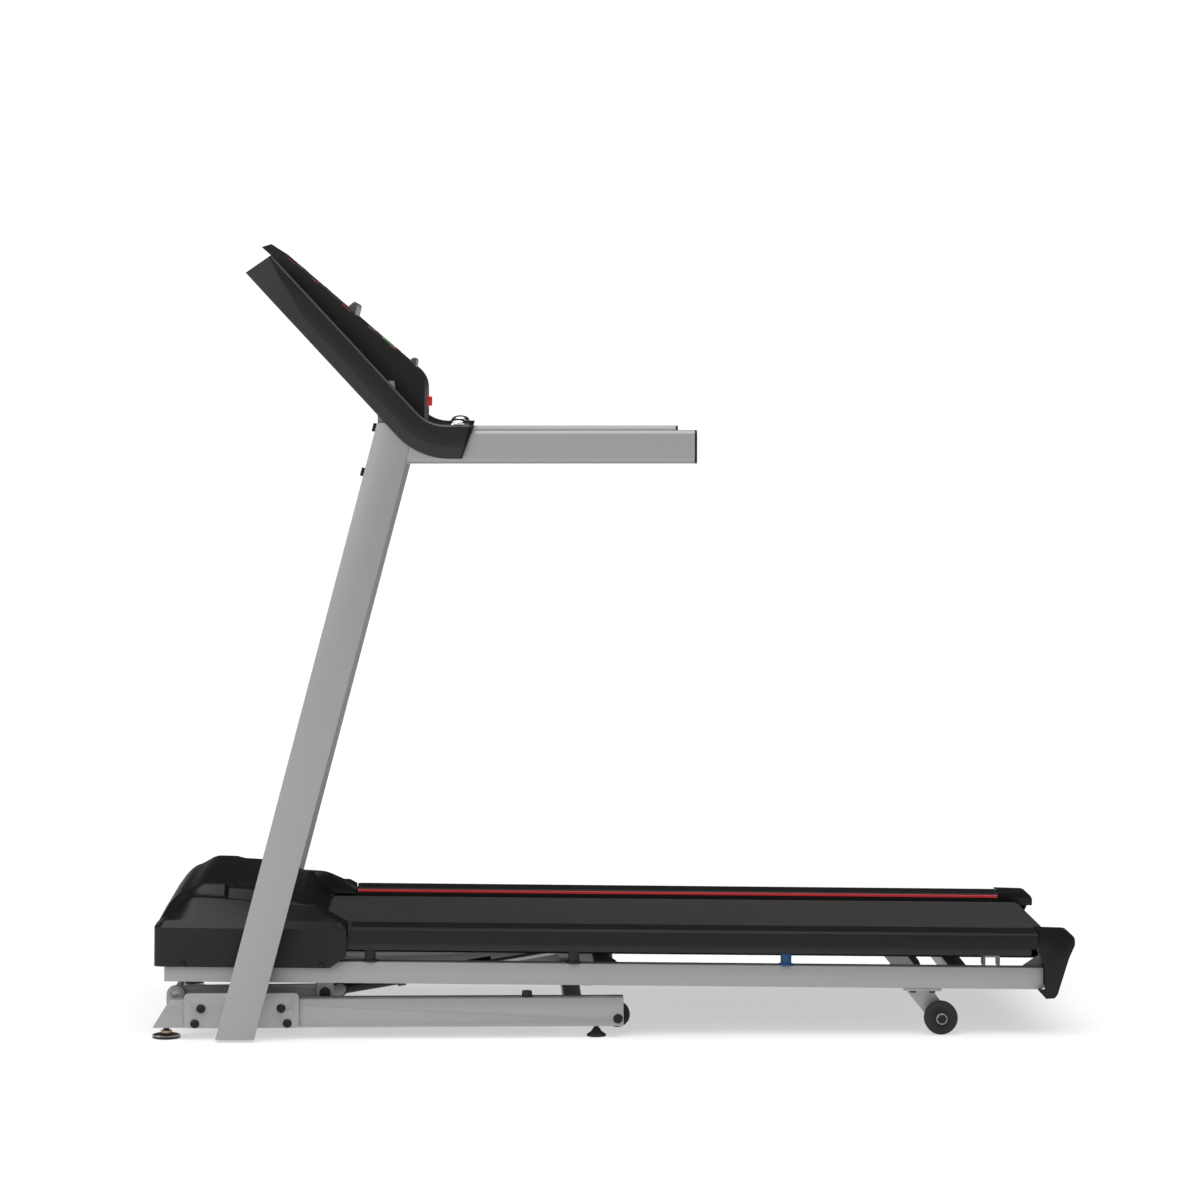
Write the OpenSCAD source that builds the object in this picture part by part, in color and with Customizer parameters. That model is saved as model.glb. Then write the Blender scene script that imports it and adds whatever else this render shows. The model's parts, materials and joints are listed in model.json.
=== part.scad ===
// Folding treadmill with a powered incline.
// X runs from the console (-) to the tail (+), Y from the left side (-) to the right (+), Z is up.
// The origin is on the floor, in the middle of the outline. The deck is drawn level, from its
// folding pivot, and on_deck() tips it nose-up to its resting angle.

/* [Overall] */
// Length from the front feet to the tail caps
length = 1515; // [1400:5:1700]
// Height of the handrails' top face above the floor
handrail_top = 995; // [900:5:1060]
// Nose-up angle of the deck at rest
deck_tilt = 0.75; // [0:0.05:0.75]

/* [Floor frame] */
// Width of the floor frame's side tubes
base_tube_w = 40; // [30:1:46]
// Height of the floor frame's side tubes
base_tube_h = 46; // [40:1:48]
// Length of the floor frame behind the folding pivot
base_reach = 735; // [600:5:900]
// Ground clearance under the floor frame
base_clear = 19; // [17:1:21]
// Diameter of the front levelling feet
foot_d = 47; // [36:1:50]
// Diameter of the transport wheels
transport_d = 42; // [36:1:44]

/* [Uprights and handrails] */
// Width of the upright tubes, seen from the side
upright_w = 61; // [50:1:70]
// Thickness of the upright and handrail tubes across the machine
upright_t = 30; // [24:1:36]
// Backward lean of the uprights
lean = 14.85; // [12:0.05:16]
// Height of the handrail tubes
handrail_h = 54; // [44:1:56]
// Length of the handrails behind the uprights
handrail_reach = 454; // [300:2:560]
// Wall of every steel tube
wall = 2; // [1.5:0.1:2.6]

/* [Deck] */
// Height of the deck's frame rails
rail_h = 35; // [30:1:36]
// Width of the deck's frame rails
rail_w = 30; // [24:1:32]
// Width of the running belt
belt_w = 450; // [400:5:560]
// Thickness of the running belt
belt_t = 2; // [1.6:0.1:2.4]
// Width of each foot rail
foot_rail_w = 80; // [60:1:86]
// Thickness of the running board
board_t = 22; // [16:1:24]
// Diameter of the front and rear rollers
roller_d = 33; // [30:1:34]
// Diameter of the rear wheels
wheel_d = 55; // [50:1:60]
// Width of every wheel
wheel_w = 22; // [16:1:24]

/* [Console] */
// Angle of the console face below the horizontal
face_angle = 40.7; // [39:0.1:42]
// Slope length of the console face
face_len = 306; // [296:2:312]
// Diameter of the round buttons
button_d = 26; // [20:1:30]
// Thickness of moulded covers
cover_t = 3; // [2:0.1:3.4]

/* [Hidden] */
$fn = 48;
// Running clearance of a pin in its bore, on the radius
fit = 0.05;
// Clearance between moulded parts
gap = 0.5;
bolt_r = 4;
pin_r = 6;
head_r = 7;
head_h = 4.5;

// Across the machine, all measured from the middle plane
foot_in = belt_w / 2 + 5;
foot_out = foot_in + foot_rail_w;
hood_out = foot_out + 2;
upright_in = hood_out + 8;
upright_out = upright_in + upright_t;
plate_t = 5;
base_out = upright_in - plate_t;
base_in = base_out - base_tube_w;
rail_out = foot_out - 8;
rail_in = rail_out - rail_w;
board_out = foot_out - 10;
hanger_t = 8;
hanger_in = rail_in - hanger_t;
yoke_t = 8;
yoke_out = hanger_in - 2;
yoke_in = yoke_out - yoke_t;

// The folding pivot, seen from the side
pivot_in = 37.5;
pivot_x = -length / 2 + pivot_in;
pivot_z = 68;
base_top = base_clear + base_tube_h;

// Along the deck from the pivot, and above it
rail_low = 25.5;
rail_top = rail_low + rail_h;
board_low = 80;
board_top = board_low + board_t;
belt_top = board_top + belt_t;
foot_top = 118;
tail_u = length - pivot_in - 1.5;
rail_end = tail_u - 50;
hood_front = -34;
hood_end = 280;
hood_low = 51;
roller_r = roller_d / 2;
roller_w = board_top - roller_r;
front_roller_u = 190;
rear_roller_u = tail_u - 36;
hanger_u = 245;
hanger_w = 5;
strut_u = 641;
strut_w = 42;
strut_x = pivot_x + 261;
strut_z = 38;
motor_u = 62;
motor_w = 108;
lift_u = 148;
lift_top_w = 142;
lift_low_w = 12;
wheel_u = tail_u - 217;
wheel_r = wheel_d / 2;
// The rear wheels stand on the floor at rest
wheel_low = (wheel_r - pivot_z + wheel_u * sin(deck_tilt)) / cos(deck_tilt);

// Console outline
cover_drop = handrail_top + 9;
face_x = pivot_x + 163;
face_z = handrail_top + 302;
chin_x = pivot_x + 411;
back_slope = 47.2;
face_half = upright_in - 28;
back_half = upright_in - 6;
cover_out = upright_out + 6;
cover_in = upright_in - 4;

// ---------------------------------------------------------------- helpers

// A piece drawn on the left side and its mirror image on the right
module both_sides() {
    children();
    mirror([0, 1, 0]) children();
}

// From the deck's own axes to the machine's
module on_deck() translate([pivot_x, 0, pivot_z]) rotate([0, deck_tilt, 0]) children();

// From the console face's own axes, X down the slope and Z out of it
module on_face() translate([face_x, 0, face_z]) rotate([0, face_angle, 0]) children();

// A side outline made solid from y0 to y1
module side_plate(points, y0, y1) {
    translate([0, y1, 0]) rotate([90, 0, 0]) linear_extrude(y1 - y0) polygon(points);
}

// A round bar across the machine from y0 to y1
module cross_bar(x, z, r, y0, y1) {
    translate([x, y1, z]) rotate([90, 0, 0]) cylinder(r = r, h = y1 - y0);
}

// A block between two corners
module block(low, high) translate(low) cube(high - low);

// Points of an arc in a side outline
function arc(cx, cy, r, from, to, steps = 8) =
    [for (i = [0 : steps]) let (a = from + (to - from) * i / steps) [cx + r * cos(a), cy + r * sin(a)]];

// A rectangle with rounded corners, as points
function rounded(x0, y0, x1, y1, r, steps = 5) = concat(
    arc(x0 + r, y0 + r, r, 180, 270, steps), arc(x1 - r, y0 + r, r, 270, 360, steps),
    arc(x1 - r, y1 - r, r, 0, 90, steps), arc(x0 + r, y1 - r, r, 90, 180, steps));

// ---------------------------------------------------------------- floor frame

toe_low = -35;
toe_high = -6;
plate_front = 17;
plate_rear = 204;
plate_high = base_top + 11;
plate_bolts = [[44, 51], [34, 26], [175, 51], [185, 26]];
transport_a = 726;
transport_z = 31;
rear_foot_a = 691;
front_foot_a = foot_d / 2 - pivot_in;
lobe_r = 15;

module base_tube() {
    difference() {
        union() {
            difference() {
                side_plate([[pivot_x + toe_low, base_clear], [pivot_x + base_reach, base_clear],
                    [pivot_x + base_reach, base_top], [pivot_x + toe_high, base_top]],
                    -base_out, -base_in);
                block([pivot_x, -base_out + wall, base_clear + wall],
                    [pivot_x + base_reach + 1, -base_in - wall, base_top - wall]);
            }
            side_plate(concat([[pivot_x - lobe_r, base_clear + wall], [pivot_x + lobe_r, base_clear + wall]],
                arc(pivot_x, pivot_z, lobe_r, 0, 180, 16)), -base_in, -base_in + plate_t);
        }
        cross_bar(pivot_x, pivot_z, pin_r + fit, -base_in - 1, -base_in + plate_t + 1);
        for (b = plate_bolts) cross_bar(pivot_x + b[0], b[1], bolt_r + fit, -base_out - 1, -base_in + 1);
        cross_bar(pivot_x + transport_a, transport_z, bolt_r + fit, -base_out - 1, -base_in + 1);
    }
}
module base_tube_left() color("silver") base_tube();
module base_tube_right() color("silver") mirror([0, 1, 0]) base_tube();

strut_cheek = 16;
module base_crossbars() color("silver") {
    for (a = [85, 218, 640]) {
        difference() {
            block([pivot_x + a, -base_in, base_clear], [pivot_x + a + 30, base_in, base_clear + 24]);
            block([pivot_x + a + wall, -base_in - 1, base_clear + wall],
                [pivot_x + a + 30 - wall, base_in + 1, base_clear + 24 - wall]);
        }
    }
    // Two cheeks and a pin hold the foot of the gas strut
    both_sides() side_plate(concat([[pivot_x + 248, base_clear], [strut_x, base_clear + 5]],
        arc(strut_x, strut_z, 10, -60, 100, 12), [[pivot_x + 248, strut_z + 6]]),
        -strut_cheek - 4, -strut_cheek);
    cross_bar(strut_x, strut_z, 5, -strut_cheek - 4, strut_cheek + 4);
}

module button_head(r, h) {
    cylinder(r1 = r, r2 = r * 0.72, h = h);
}

bolt_long = 12;
module frame_bolts() color("black") both_sides() {
    for (b = plate_bolts) translate([pivot_x + b[0], -upright_in, b[1]]) rotate([90, 0, 0]) {
        button_head(head_r, head_h);
        translate([0, 0, -bolt_long]) cylinder(r = bolt_r, h = bolt_long);
    }
    translate([pivot_x + transport_a, -base_out, transport_z]) rotate([90, 0, 0]) {
        button_head(head_r + 1, head_h);
        translate([0, 0, -base_tube_w - wheel_w - 5]) cylinder(r = bolt_r, h = base_tube_w + wheel_w + 5);
        translate([0, 0, -base_tube_w - wheel_w - 8]) cylinder(r = head_r, h = 5);
    }
    // Bolts that hold the console frame, on the uprights' front faces
    for (z = [handrail_top + 4, handrail_top - 68])
        translate([upright_front(z), -upright_in - upright_t / 2, z]) rotate([0, -90 + lean, 0])
            cylinder(r = head_r, h = head_h + 1);
}

// Revolved feet, each as half a section
module levelling_feet() color("dimgray") both_sides()
    translate([pivot_x + front_foot_a, -base_out + base_tube_w / 2, 0]) rotate_extrude()
        polygon([[0, 0], [foot_d / 2 - 1, 0], [foot_d / 2, 1], [foot_d / 2, 5], [foot_d / 2 - 3, 8],
            [9, 8], [9, 13], [5, 13], [5, base_clear], [0, base_clear]]);

module rear_feet() color("black") both_sides()
    translate([pivot_x + rear_foot_a, -base_out + base_tube_w / 2, 0]) rotate_extrude()
        polygon(concat([[0, 0], [16, 0], [16, 2]], [for (i = [0 : 5]) [14.5 - 8 * sin(i * 18), 4 + 8 * i / 5]],
            [[4, 13], [4, base_clear], [0, base_clear]]));

module bumpers() color("black") both_sides()
    translate([pivot_x + 577, -base_out + base_tube_w / 2, base_top]) cylinder(r1 = 9, r2 = 8, h = 10);

module transport_wheel() {
    translate([pivot_x + transport_a, -base_in + 2, transport_z]) rotate([-90, 0, 0]) difference() {
        rotate_extrude() polygon([[bolt_r + fit, 0], [9, 0], [9, 2], [transport_d / 2 - 2, 2],
            [transport_d / 2, 4], [transport_d / 2, wheel_w - 4], [transport_d / 2 - 2, wheel_w - 2],
            [9, wheel_w - 2], [9, wheel_w], [bolt_r + fit, wheel_w]]);
    }
}
module transport_wheel_left() color("black") transport_wheel();
module transport_wheel_right() color("black") mirror([0, 1, 0]) transport_wheel();

// ---------------------------------------------------------------- uprights and handrails

upright_foot = pivot_x + 69;
upright_low = 4;
upright_high = handrail_top + 12;
upright_run = upright_w / cos(lean);
function upright_front(z) = upright_foot + (z - upright_low) * tan(lean);
function upright_back(z) = upright_front(z) + upright_run;
upright_skin = wall / cos(lean);

module upright() {
    difference() {
        union() {
            difference() {
                side_plate([[upright_front(upright_low), upright_low], [upright_back(upright_low), upright_low],
                    [upright_back(upright_high), upright_high], [upright_front(upright_high), upright_high]],
                    -upright_out, -upright_in);
                side_plate([[upright_front(0) + upright_skin, 0], [upright_back(0) - upright_skin, 0],
                    [upright_back(upright_high - wall) - upright_skin, upright_high - wall],
                    [upright_front(upright_high - wall) + upright_skin, upright_high - wall]],
                    -upright_out + wall, -upright_in - wall);
            }
            side_plate(rounded(pivot_x + plate_front, base_clear, pivot_x + plate_rear, plate_high, 7),
                -upright_in, -base_out);
            // Weld plugs beside the bolts
            for (a = [30, 190]) cross_bar(pivot_x + a, 45, 5.5, -upright_in - 0.8, -upright_in);
        }
        for (b = plate_bolts)
            cross_bar(pivot_x + b[0], b[1], bolt_r + fit, -upright_in - 1, -base_out + 1);
    }
}
module upright_left() color("silver") upright();
module upright_right() color("silver") mirror([0, 1, 0]) upright();

handrail_low = handrail_top - handrail_h;
handrail_end = upright_back(handrail_top) + handrail_reach;
module handrail_profile(inset) polygon(rounded(-upright_out + inset, handrail_low + inset,
    -upright_in - inset, handrail_top - inset, 9 - inset, 6));
module handrail() {
    intersection() {
        translate([upright_back(handrail_low), 0, 0]) rotate([90, 0, 90]) difference() {
            linear_extrude(handrail_end - upright_back(handrail_low)) handrail_profile(0);
            translate([0, 0, -1]) linear_extrude(handrail_end - upright_back(handrail_low) + 2)
                handrail_profile(wall);
        }
        side_plate([[upright_back(handrail_low) + 0.3, handrail_low - 1], [handrail_end, handrail_low - 1],
            [handrail_end, handrail_top + 1], [upright_back(handrail_top) + 0.3, handrail_top + 1]],
            -upright_out - 1, -upright_in + 1);
    }
}
module handrail_left() color("silver") handrail();
module handrail_right() color("silver") mirror([0, 1, 0]) handrail();

module handrail_caps() color("black") both_sides()
    translate([handrail_end, 0, 0]) rotate([90, 0, 90]) {
        linear_extrude(4) handrail_profile(0);
        translate([0, 0, -10]) linear_extrude(10) handrail_profile(wall + 0.1);
    }

// ---------------------------------------------------------------- console

// The arm covers bend from the handrail up to the console along two parallel lines
arm_h = 55;
arm_end = pivot_x + 492;
arm_low = cover_drop - arm_h;
bend_r = 62;
bend_x = chin_x + 34;
// The lower line bends a little later, so the arm is slimmer up the slope
bend_low_x = bend_x + 7.5;
bend_z = cover_drop + bend_r;
function up_slope(x, z, d) = [x - d * cos(back_slope), z + d * sin(back_slope)];
bend_in = [bend_x - bend_r * sin(back_slope), bend_z - bend_r * cos(back_slope)];
bend_out = [bend_low_x - (bend_r + arm_h) * sin(back_slope), bend_z - (bend_r + arm_h) * cos(back_slope)];
arm_slope = 350;
cover_tip_in = up_slope(bend_in[0], bend_in[1], arm_slope - 5);
cover_tip_out = up_slope(bend_out[0], bend_out[1], arm_slope + 8);

function arm_outline(inset) = concat(
    [[arm_end - 20, arm_low + inset], [arm_end, cover_drop - inset]],
    arc(bend_x, bend_z, bend_r + inset, 270, 270 - back_slope, 10),
    [[cover_tip_in[0] - inset * sin(back_slope), cover_tip_in[1] - inset * cos(back_slope)]],
    [[cover_tip_out[0] + inset * sin(back_slope), cover_tip_out[1] + inset * cos(back_slope)]],
    arc(bend_low_x, bend_z, bend_r + arm_h - inset, 270 - back_slope, 270, 14));

module tube_clearance() {
    side_plate([[upright_front(0) - gap, 0], [upright_back(0) + gap, 0],
        [upright_back(upright_high + gap) + gap, upright_high + gap],
        [upright_front(upright_high + gap) - gap, upright_high + gap]], -upright_out - gap, -upright_in + gap);
    block([upright_back(handrail_low) - 20, -upright_out - gap, handrail_low - gap],
        [arm_end + 50, -upright_in + gap, handrail_top + gap]);
}

module side_cover() {
    difference() {
        side_plate(arm_outline(0), -cover_out, -cover_in);
        intersection() {
            side_plate(arm_outline(cover_t), -cover_out + cover_t, -cover_in - cover_t);
            block([cover_tip_out[0] - 100, -cover_out, 0], [arm_end - cover_t * 3, 0, 2 * handrail_top]);
        }
        tube_clearance();
        frame_flange(gap);
    }
}
module side_cover_left() color("dimgray") side_cover();
module side_cover_right() color("dimgray") mirror([0, 1, 0]) side_cover();

beam = 30;
beam_x = pivot_x + 332;
beam_z = handrail_top + 50;
// The plate that joins the cross beam to the inner face of an upright
module frame_flange(extra) {
    side_plate([[upright_front(handrail_top - 30) + 14 - extra, handrail_top - 30 - extra],
        [upright_back(handrail_top - 30) - 8 + extra, handrail_top - 30 - extra],
        [beam_x + beam + extra, beam_z + beam + extra], [beam_x - extra, beam_z + beam + extra]],
        -upright_in + 0.1 - extra, -back_half - gap + extra);
}
module console_frame() color("silver") {
    difference() {
        block([beam_x, -back_half - gap, beam_z], [beam_x + beam, back_half + gap, beam_z + beam]);
        block([beam_x + wall, -back_half - 1 - gap, beam_z + wall],
            [beam_x + beam - wall, back_half + 1 + gap, beam_z + beam - wall]);
    }
    both_sides() frame_flange(0);
}

// The seam between back shell and face panel runs up the slope from the chin
back_len = 330;
chin_low = handrail_top + 5;
back_low_x = bend_out[0] + (bend_out[1] - chin_low) / tan(back_slope);
back_foot = [back_low_x, chin_low];
back_tip = up_slope(back_low_x, chin_low, back_len);
seam_foot = [back_low_x + 19, chin_low + 18];
seam_tip = up_slope(seam_foot[0], seam_foot[1], back_len);

module console_back() color("dimgray") difference() {
    side_plate([back_foot, [seam_foot[0] + 14, chin_low], seam_foot, seam_tip, back_tip],
        -back_half, back_half);
    side_plate([up_slope(back_foot[0] + 5, back_foot[1] + 4, 0), [seam_foot[0] + 9, chin_low + 4],
        seam_foot, up_slope(seam_foot[0] + 8, seam_foot[1] + 8, 0),
        up_slope(seam_foot[0] + 8, seam_foot[1] + 8, back_len - 6),
        up_slope(back_foot[0] + 5, back_foot[1] + 4, back_len - 10)],
        -back_half + cover_t, back_half - cover_t);
    block([beam_x - gap, -back_half - 1, beam_z - gap],
        [beam_x + beam + gap, back_half + 1, beam_z + beam + gap]);
}

face_end = [face_x + face_len * cos(face_angle), face_z - face_len * sin(face_angle)];
chin_r = 44;
// The chin's arc runs on from the face
chin_s = (chin_x - chin_r * (1 - sin(face_angle)) - face_x) / cos(face_angle);
chin_c = [chin_x - chin_r, face_z - chin_s * sin(face_angle) - chin_r * cos(face_angle)];
function face_outline(inset) = [
    [seam_foot[0] + 14 + inset, chin_low + inset], [chin_x - inset, chin_low + inset],
    each arc(chin_c[0], chin_c[1], chin_r - inset, 0, 90 - face_angle, 8),
    [face_x, face_z - inset * 1.35],
    [face_x - 16 + inset * 2.6, face_z - 5 - inset * 0.6],
    [face_x + 1 + inset * 1.5, face_z - 20],
    [seam_tip[0] + inset * 1.6, seam_tip[1] - inset * 0.6], [seam_foot[0] + inset * 1.5, seam_foot[1]]];

ledge_s = 163;
key_z = face_end[1] - 57;
button_s = 240;
button_y = 34;
rocker_s = 230;
rocker_y = 120;
rocker_l = 60;
rocker_w = 24;
rocker_h = 2.2;
screen_s = 46;
screen_l = 92;
screen_half = 120;
face_wall = 4;

module console_face() color("black") difference() {
    side_plate(face_outline(0), -face_half, face_half);
    side_plate(face_outline(face_wall), -face_half + face_wall, face_half - face_wall);
    block([beam_x - gap, -face_half - 1, beam_z - gap],
        [beam_x + beam + gap, face_half + 1, beam_z + beam + gap]);
    on_face() {
        block([screen_s, -screen_half, -3], [screen_s + screen_l, screen_half, 10]);
        for (y = [-button_y, button_y])
            translate([button_s, y, -20]) cylinder(r = button_d / 2 + gap, h = 40);
        for (y = [-rocker_y, rocker_y])
            block([rocker_s - rocker_l / 2 - gap, y - rocker_w / 2 - gap, -20],
                [rocker_s + rocker_l / 2 + gap, y + rocker_w / 2 + gap, 20]);
    }
    block([chin_x - 5, -14 - gap, key_z - 10 - gap], [chin_x + 5, 14 + gap, key_z + 10 + gap]);
}

module display_window() color("darkslategray") on_face()
    block([screen_s + 0.2, -screen_half + 0.2, -2.8], [screen_s + screen_l - 0.2, screen_half - 0.2, -0.6]);

// Two soft ridges hold a tablet: an upper lip and a lower shelf
module ridge(s, half, h, t) {
    translate([s, half, 0]) rotate([90, 0, 0]) linear_extrude(2 * half)
        polygon(concat([[-t, 0]], arc(-t / 2 + 2, h - t / 2, t / 2, 180, 20, 8), [[t, 0]]));
}
module tablet_ledge() color("gray") on_face() {
    ridge(ledge_s, 130, 17, 9);
    ridge(face_len - 9, 110, 11, 8);
}

module pulse_sensors() color("gainsboro") both_sides()
    translate([arm_end - 26, -(cover_in + cover_out) / 2, cover_drop]) rotate_extrude()
        polygon([[0, 0], [17, 0], [17, 2], each arc(0, -13.5, 23, 43, 90, 7)]);

button_travel = 2;
module round_button(y) on_face() translate([button_s, y, -face_wall]) {
    cylinder(r = button_d / 2, h = face_wall + 2.2);
    translate([0, 0, -2]) cylinder(r = button_d / 2 - 4, h = 2);
}
module start_button() color("green") round_button(-button_y);
module stop_button() color("red") round_button(button_y);

module rocker(y) on_face() translate([rocker_s, y + rocker_w / 2, 0]) rotate([90, 0, 0])
    linear_extrude(rocker_w) polygon([[-rocker_l / 2 + 1, -2], [rocker_l / 2 - 1, -2],
        [rocker_l / 2 - 1, rocker_h - 1], [0, rocker_h - 2.5], [-rocker_l / 2 + 1, rocker_h - 1]]);
module speed_rocker() color("gray") rocker(rocker_y);
module incline_rocker() color("gray") rocker(-rocker_y);

module safety_key() color("red") {
    block([chin_x - 4.5, -14, key_z - 10], [chin_x + 3, 14, key_z + 10]);
    block([chin_x + 3, -5, key_z - 8], [chin_x + 9, 5, key_z + 8]);
}

// ---------------------------------------------------------------- folding pivot and lift frame

module fold_shaft() color("dimgray") cross_bar(pivot_x, pivot_z, pin_r, -base_in + 1, base_in - 1);

yoke_bar_u = lift_u - 27;
yoke_bar_l = 30;
module lift_frame() color("silver") on_deck() {
    both_sides() difference() {
        union() {
            side_plate([[0, -13], [hanger_u, hanger_w - 13], [hanger_u, hanger_w + 13], [0, 13]],
                -yoke_out, -yoke_in);
            cross_bar(0, 0, 13, -yoke_out, -yoke_in);
            cross_bar(hanger_u, hanger_w, 13, -yoke_out, -yoke_in);
        }
        cross_bar(0, 0, pin_r + fit, -yoke_out - 1, -yoke_in + 1);
        cross_bar(hanger_u, hanger_w, pin_r + fit, -yoke_out - 1, -yoke_in + 1);
    }
    block([yoke_bar_u - yoke_bar_l, -yoke_in, -11], [yoke_bar_u, yoke_in, 11]);
    // Two ears and a pin for the incline screw's end
    both_sides() side_plate(concat([[yoke_bar_u, -9], [lift_u, lift_low_w - 10]],
        arc(lift_u, lift_low_w, 10, -90, 90, 10), [[yoke_bar_u, 11]]), -18, -13);
    cross_bar(lift_u, lift_low_w, 5, -18, 18);
}

// ---------------------------------------------------------------- deck

rail_start = -17;
bracket_u = tail_u - 147;
module deck_rail() on_deck() {
    difference() {
        block([rail_start, -rail_out, rail_low], [rail_end, -rail_in, rail_top]);
        block([rail_start - 1, -rail_out + wall, rail_low + wall], [rail_end + 1, -rail_in - wall, rail_top - wall]);
    }
    // Hanger for the lift frame's rear pin
    difference() {
        side_plate(concat([[hanger_u - 14, rail_top - 8], [hanger_u - 14, hanger_w]],
            arc(hanger_u, hanger_w, 14, 180, 360, 16), [[hanger_u + 14, rail_top - 8]]),
            -rail_in, -hanger_in);
        cross_bar(hanger_u, hanger_w, pin_r, -rail_in - 1, -hanger_in + 1);
    }
    // Plates that hold the ends of the two rollers' fixed axles
    for (u = [front_roller_u, rear_roller_u]) difference() {
        side_plate([[u - 44, rail_low + 4], [u + 14, rail_low + 4], [u + 14, roller_w + 13],
            [u - 12, roller_w + 13], [u - 20, board_low - 3], [u - 44, rail_top]],
            -rail_in, -rail_in + plate_t);
        cross_bar(u, roller_w, pin_r, -rail_in - 1, -rail_in + plate_t + 1);
    }
    // Short bracket behind the dampers, open below, with the board's rear screw in it
    block([bracket_u, -rail_in - 6, rail_top - 1], [bracket_u + 4, -rail_in + 26, board_low - 5]);
    block([bracket_u + 24, -rail_in - 6, rail_top - 1], [bracket_u + 28, -rail_in + 26, board_low - 5]);
    block([bracket_u, -rail_in - 6, board_low - 6], [bracket_u + 28, -rail_in + 26, board_low - 0.3]);
}
module deck_rail_left() color("silver") deck_rail();
module deck_rail_right() color("silver") mirror([0, 1, 0]) deck_rail();

bar_h = 24;
strut_bar_u = strut_u + 46;
lift_bar_u = lift_u - 48;
module box_bar(u, w, l) difference() {
    block([u, -rail_in, w], [u + l, rail_in, w + bar_h]);
    block([u + wall, -rail_in - 1, w + wall], [u + l - wall, rail_in + 1, w + bar_h - wall]);
}
module deck_crossbars() color("silver") on_deck() {
    box_bar(rail_start, rail_low + 6, 26);
    box_bar(lift_bar_u, rail_low + 6, 28);
    box_bar(front_roller_u + 16, rail_low + 1, 24);
    box_bar(strut_bar_u, rail_top - bar_h - 3, 30);
    box_bar(rail_end - 150, rail_low + 6, 30);
    // Posts that carry the incline motor
    both_sides() difference() {
        side_plate([[lift_bar_u, rail_low + 6], [lift_bar_u + 28, rail_low + 6], [lift_bar_u + 28, rail_top],
            [lift_u + 12, lift_top_w - 12], [lift_u + 12, lift_top_w + 12], [lift_u - 12, lift_top_w + 12],
            [lift_u - 12, lift_top_w - 12], [lift_bar_u, rail_top + 10]], -34, -29);
        cross_bar(lift_u, lift_top_w, pin_r - 1 + fit, -35, -28);
    }
    // Cheeks that reach forward to the head of the gas strut
    both_sides() side_plate(concat([[strut_bar_u, rail_top - bar_h - 3], [strut_bar_u, rail_top - 3]],
        arc(strut_u, strut_w, 10, 90, 270, 12)), -strut_cheek - 4, -strut_cheek);
    // Flat plate under the drive motor and the controller
    block([-8, -foot_in + 8, rail_low + 6 + bar_h], [lift_bar_u + 28, -60, rail_low + 10 + bar_h]);
}

module deck_bolts() color("black") on_deck() {
    both_sides() {
        // Rear pins of the lift frame
        cross_bar(hanger_u, hanger_w, pin_r, -rail_in, -yoke_in + 2);
        cross_bar(hanger_u, hanger_w, pin_r + 3, -rail_in - 2.5, -rail_in);
        // Hood screws along the skirt's lower edge
        for (u = [-7 + 22, hood_end - 40]) translate([u, -hood_out, hood_low + 5]) rotate([90, 0, 0])
            button_head(4.5, 3);
        // Bolts of the rear wheel arms
        for (u = [wheel_u - 46, wheel_u - 14]) translate([u, -rail_out + rail_w / 2, rail_low - 5])
            rotate([180, 0, 0]) cylinder(r = 5, h = 4);
    }
    // Fixed axles of the two rollers
    for (u = [front_roller_u, rear_roller_u]) cross_bar(u, roller_w, pin_r, -rail_in - 2, rail_in + 2);
}

module deck_board() color("saddlebrown") on_deck()
    block([front_roller_u + 40, -board_out, board_low], [rear_roller_u - 34, board_out, board_top - 0.2]);

module running_belt() color("darkslategray") on_deck()
    translate([0, belt_w / 2, 0]) rotate([90, 0, 0]) linear_extrude(belt_w) difference() {
        union() {
            translate([front_roller_u, roller_w - roller_r - belt_t])
                square([rear_roller_u - front_roller_u, roller_d + 2 * belt_t]);
            for (u = [front_roller_u, rear_roller_u]) translate([u, roller_w]) circle(r = roller_r + belt_t);
        }
        translate([front_roller_u, roller_w - roller_r])
            square([rear_roller_u - front_roller_u, roller_d]);
        for (u = [front_roller_u, rear_roller_u]) translate([u, roller_w]) circle(r = roller_r + fit);
    }

// Section of a foot rail: a channel that sits on the board, with a skirt down its outside
module foot_rail() on_deck() translate([hood_end + 2, 0, 0]) rotate([90, 0, 90])
    linear_extrude(tail_u - 59 - hood_end - 3) polygon(concat(
        [[-foot_in, board_top], [-foot_in, foot_top - 2], [-foot_in - 2, foot_top]],
        [for (p = arc(foot_out - 7, foot_top - 7, 7, 90, 0, 6)) [-p[0], p[1]]],
        [[-foot_out, 92], [-foot_out + 3, 92], [-foot_out + 3, foot_top - 8], [-foot_out + 6, foot_top - 5],
        [-foot_in - 6, foot_top - 5], [-foot_in - 6, board_top]]));
module foot_rail_left() color("black") foot_rail();
module foot_rail_right() color("black") mirror([0, 1, 0]) foot_rail();

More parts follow.
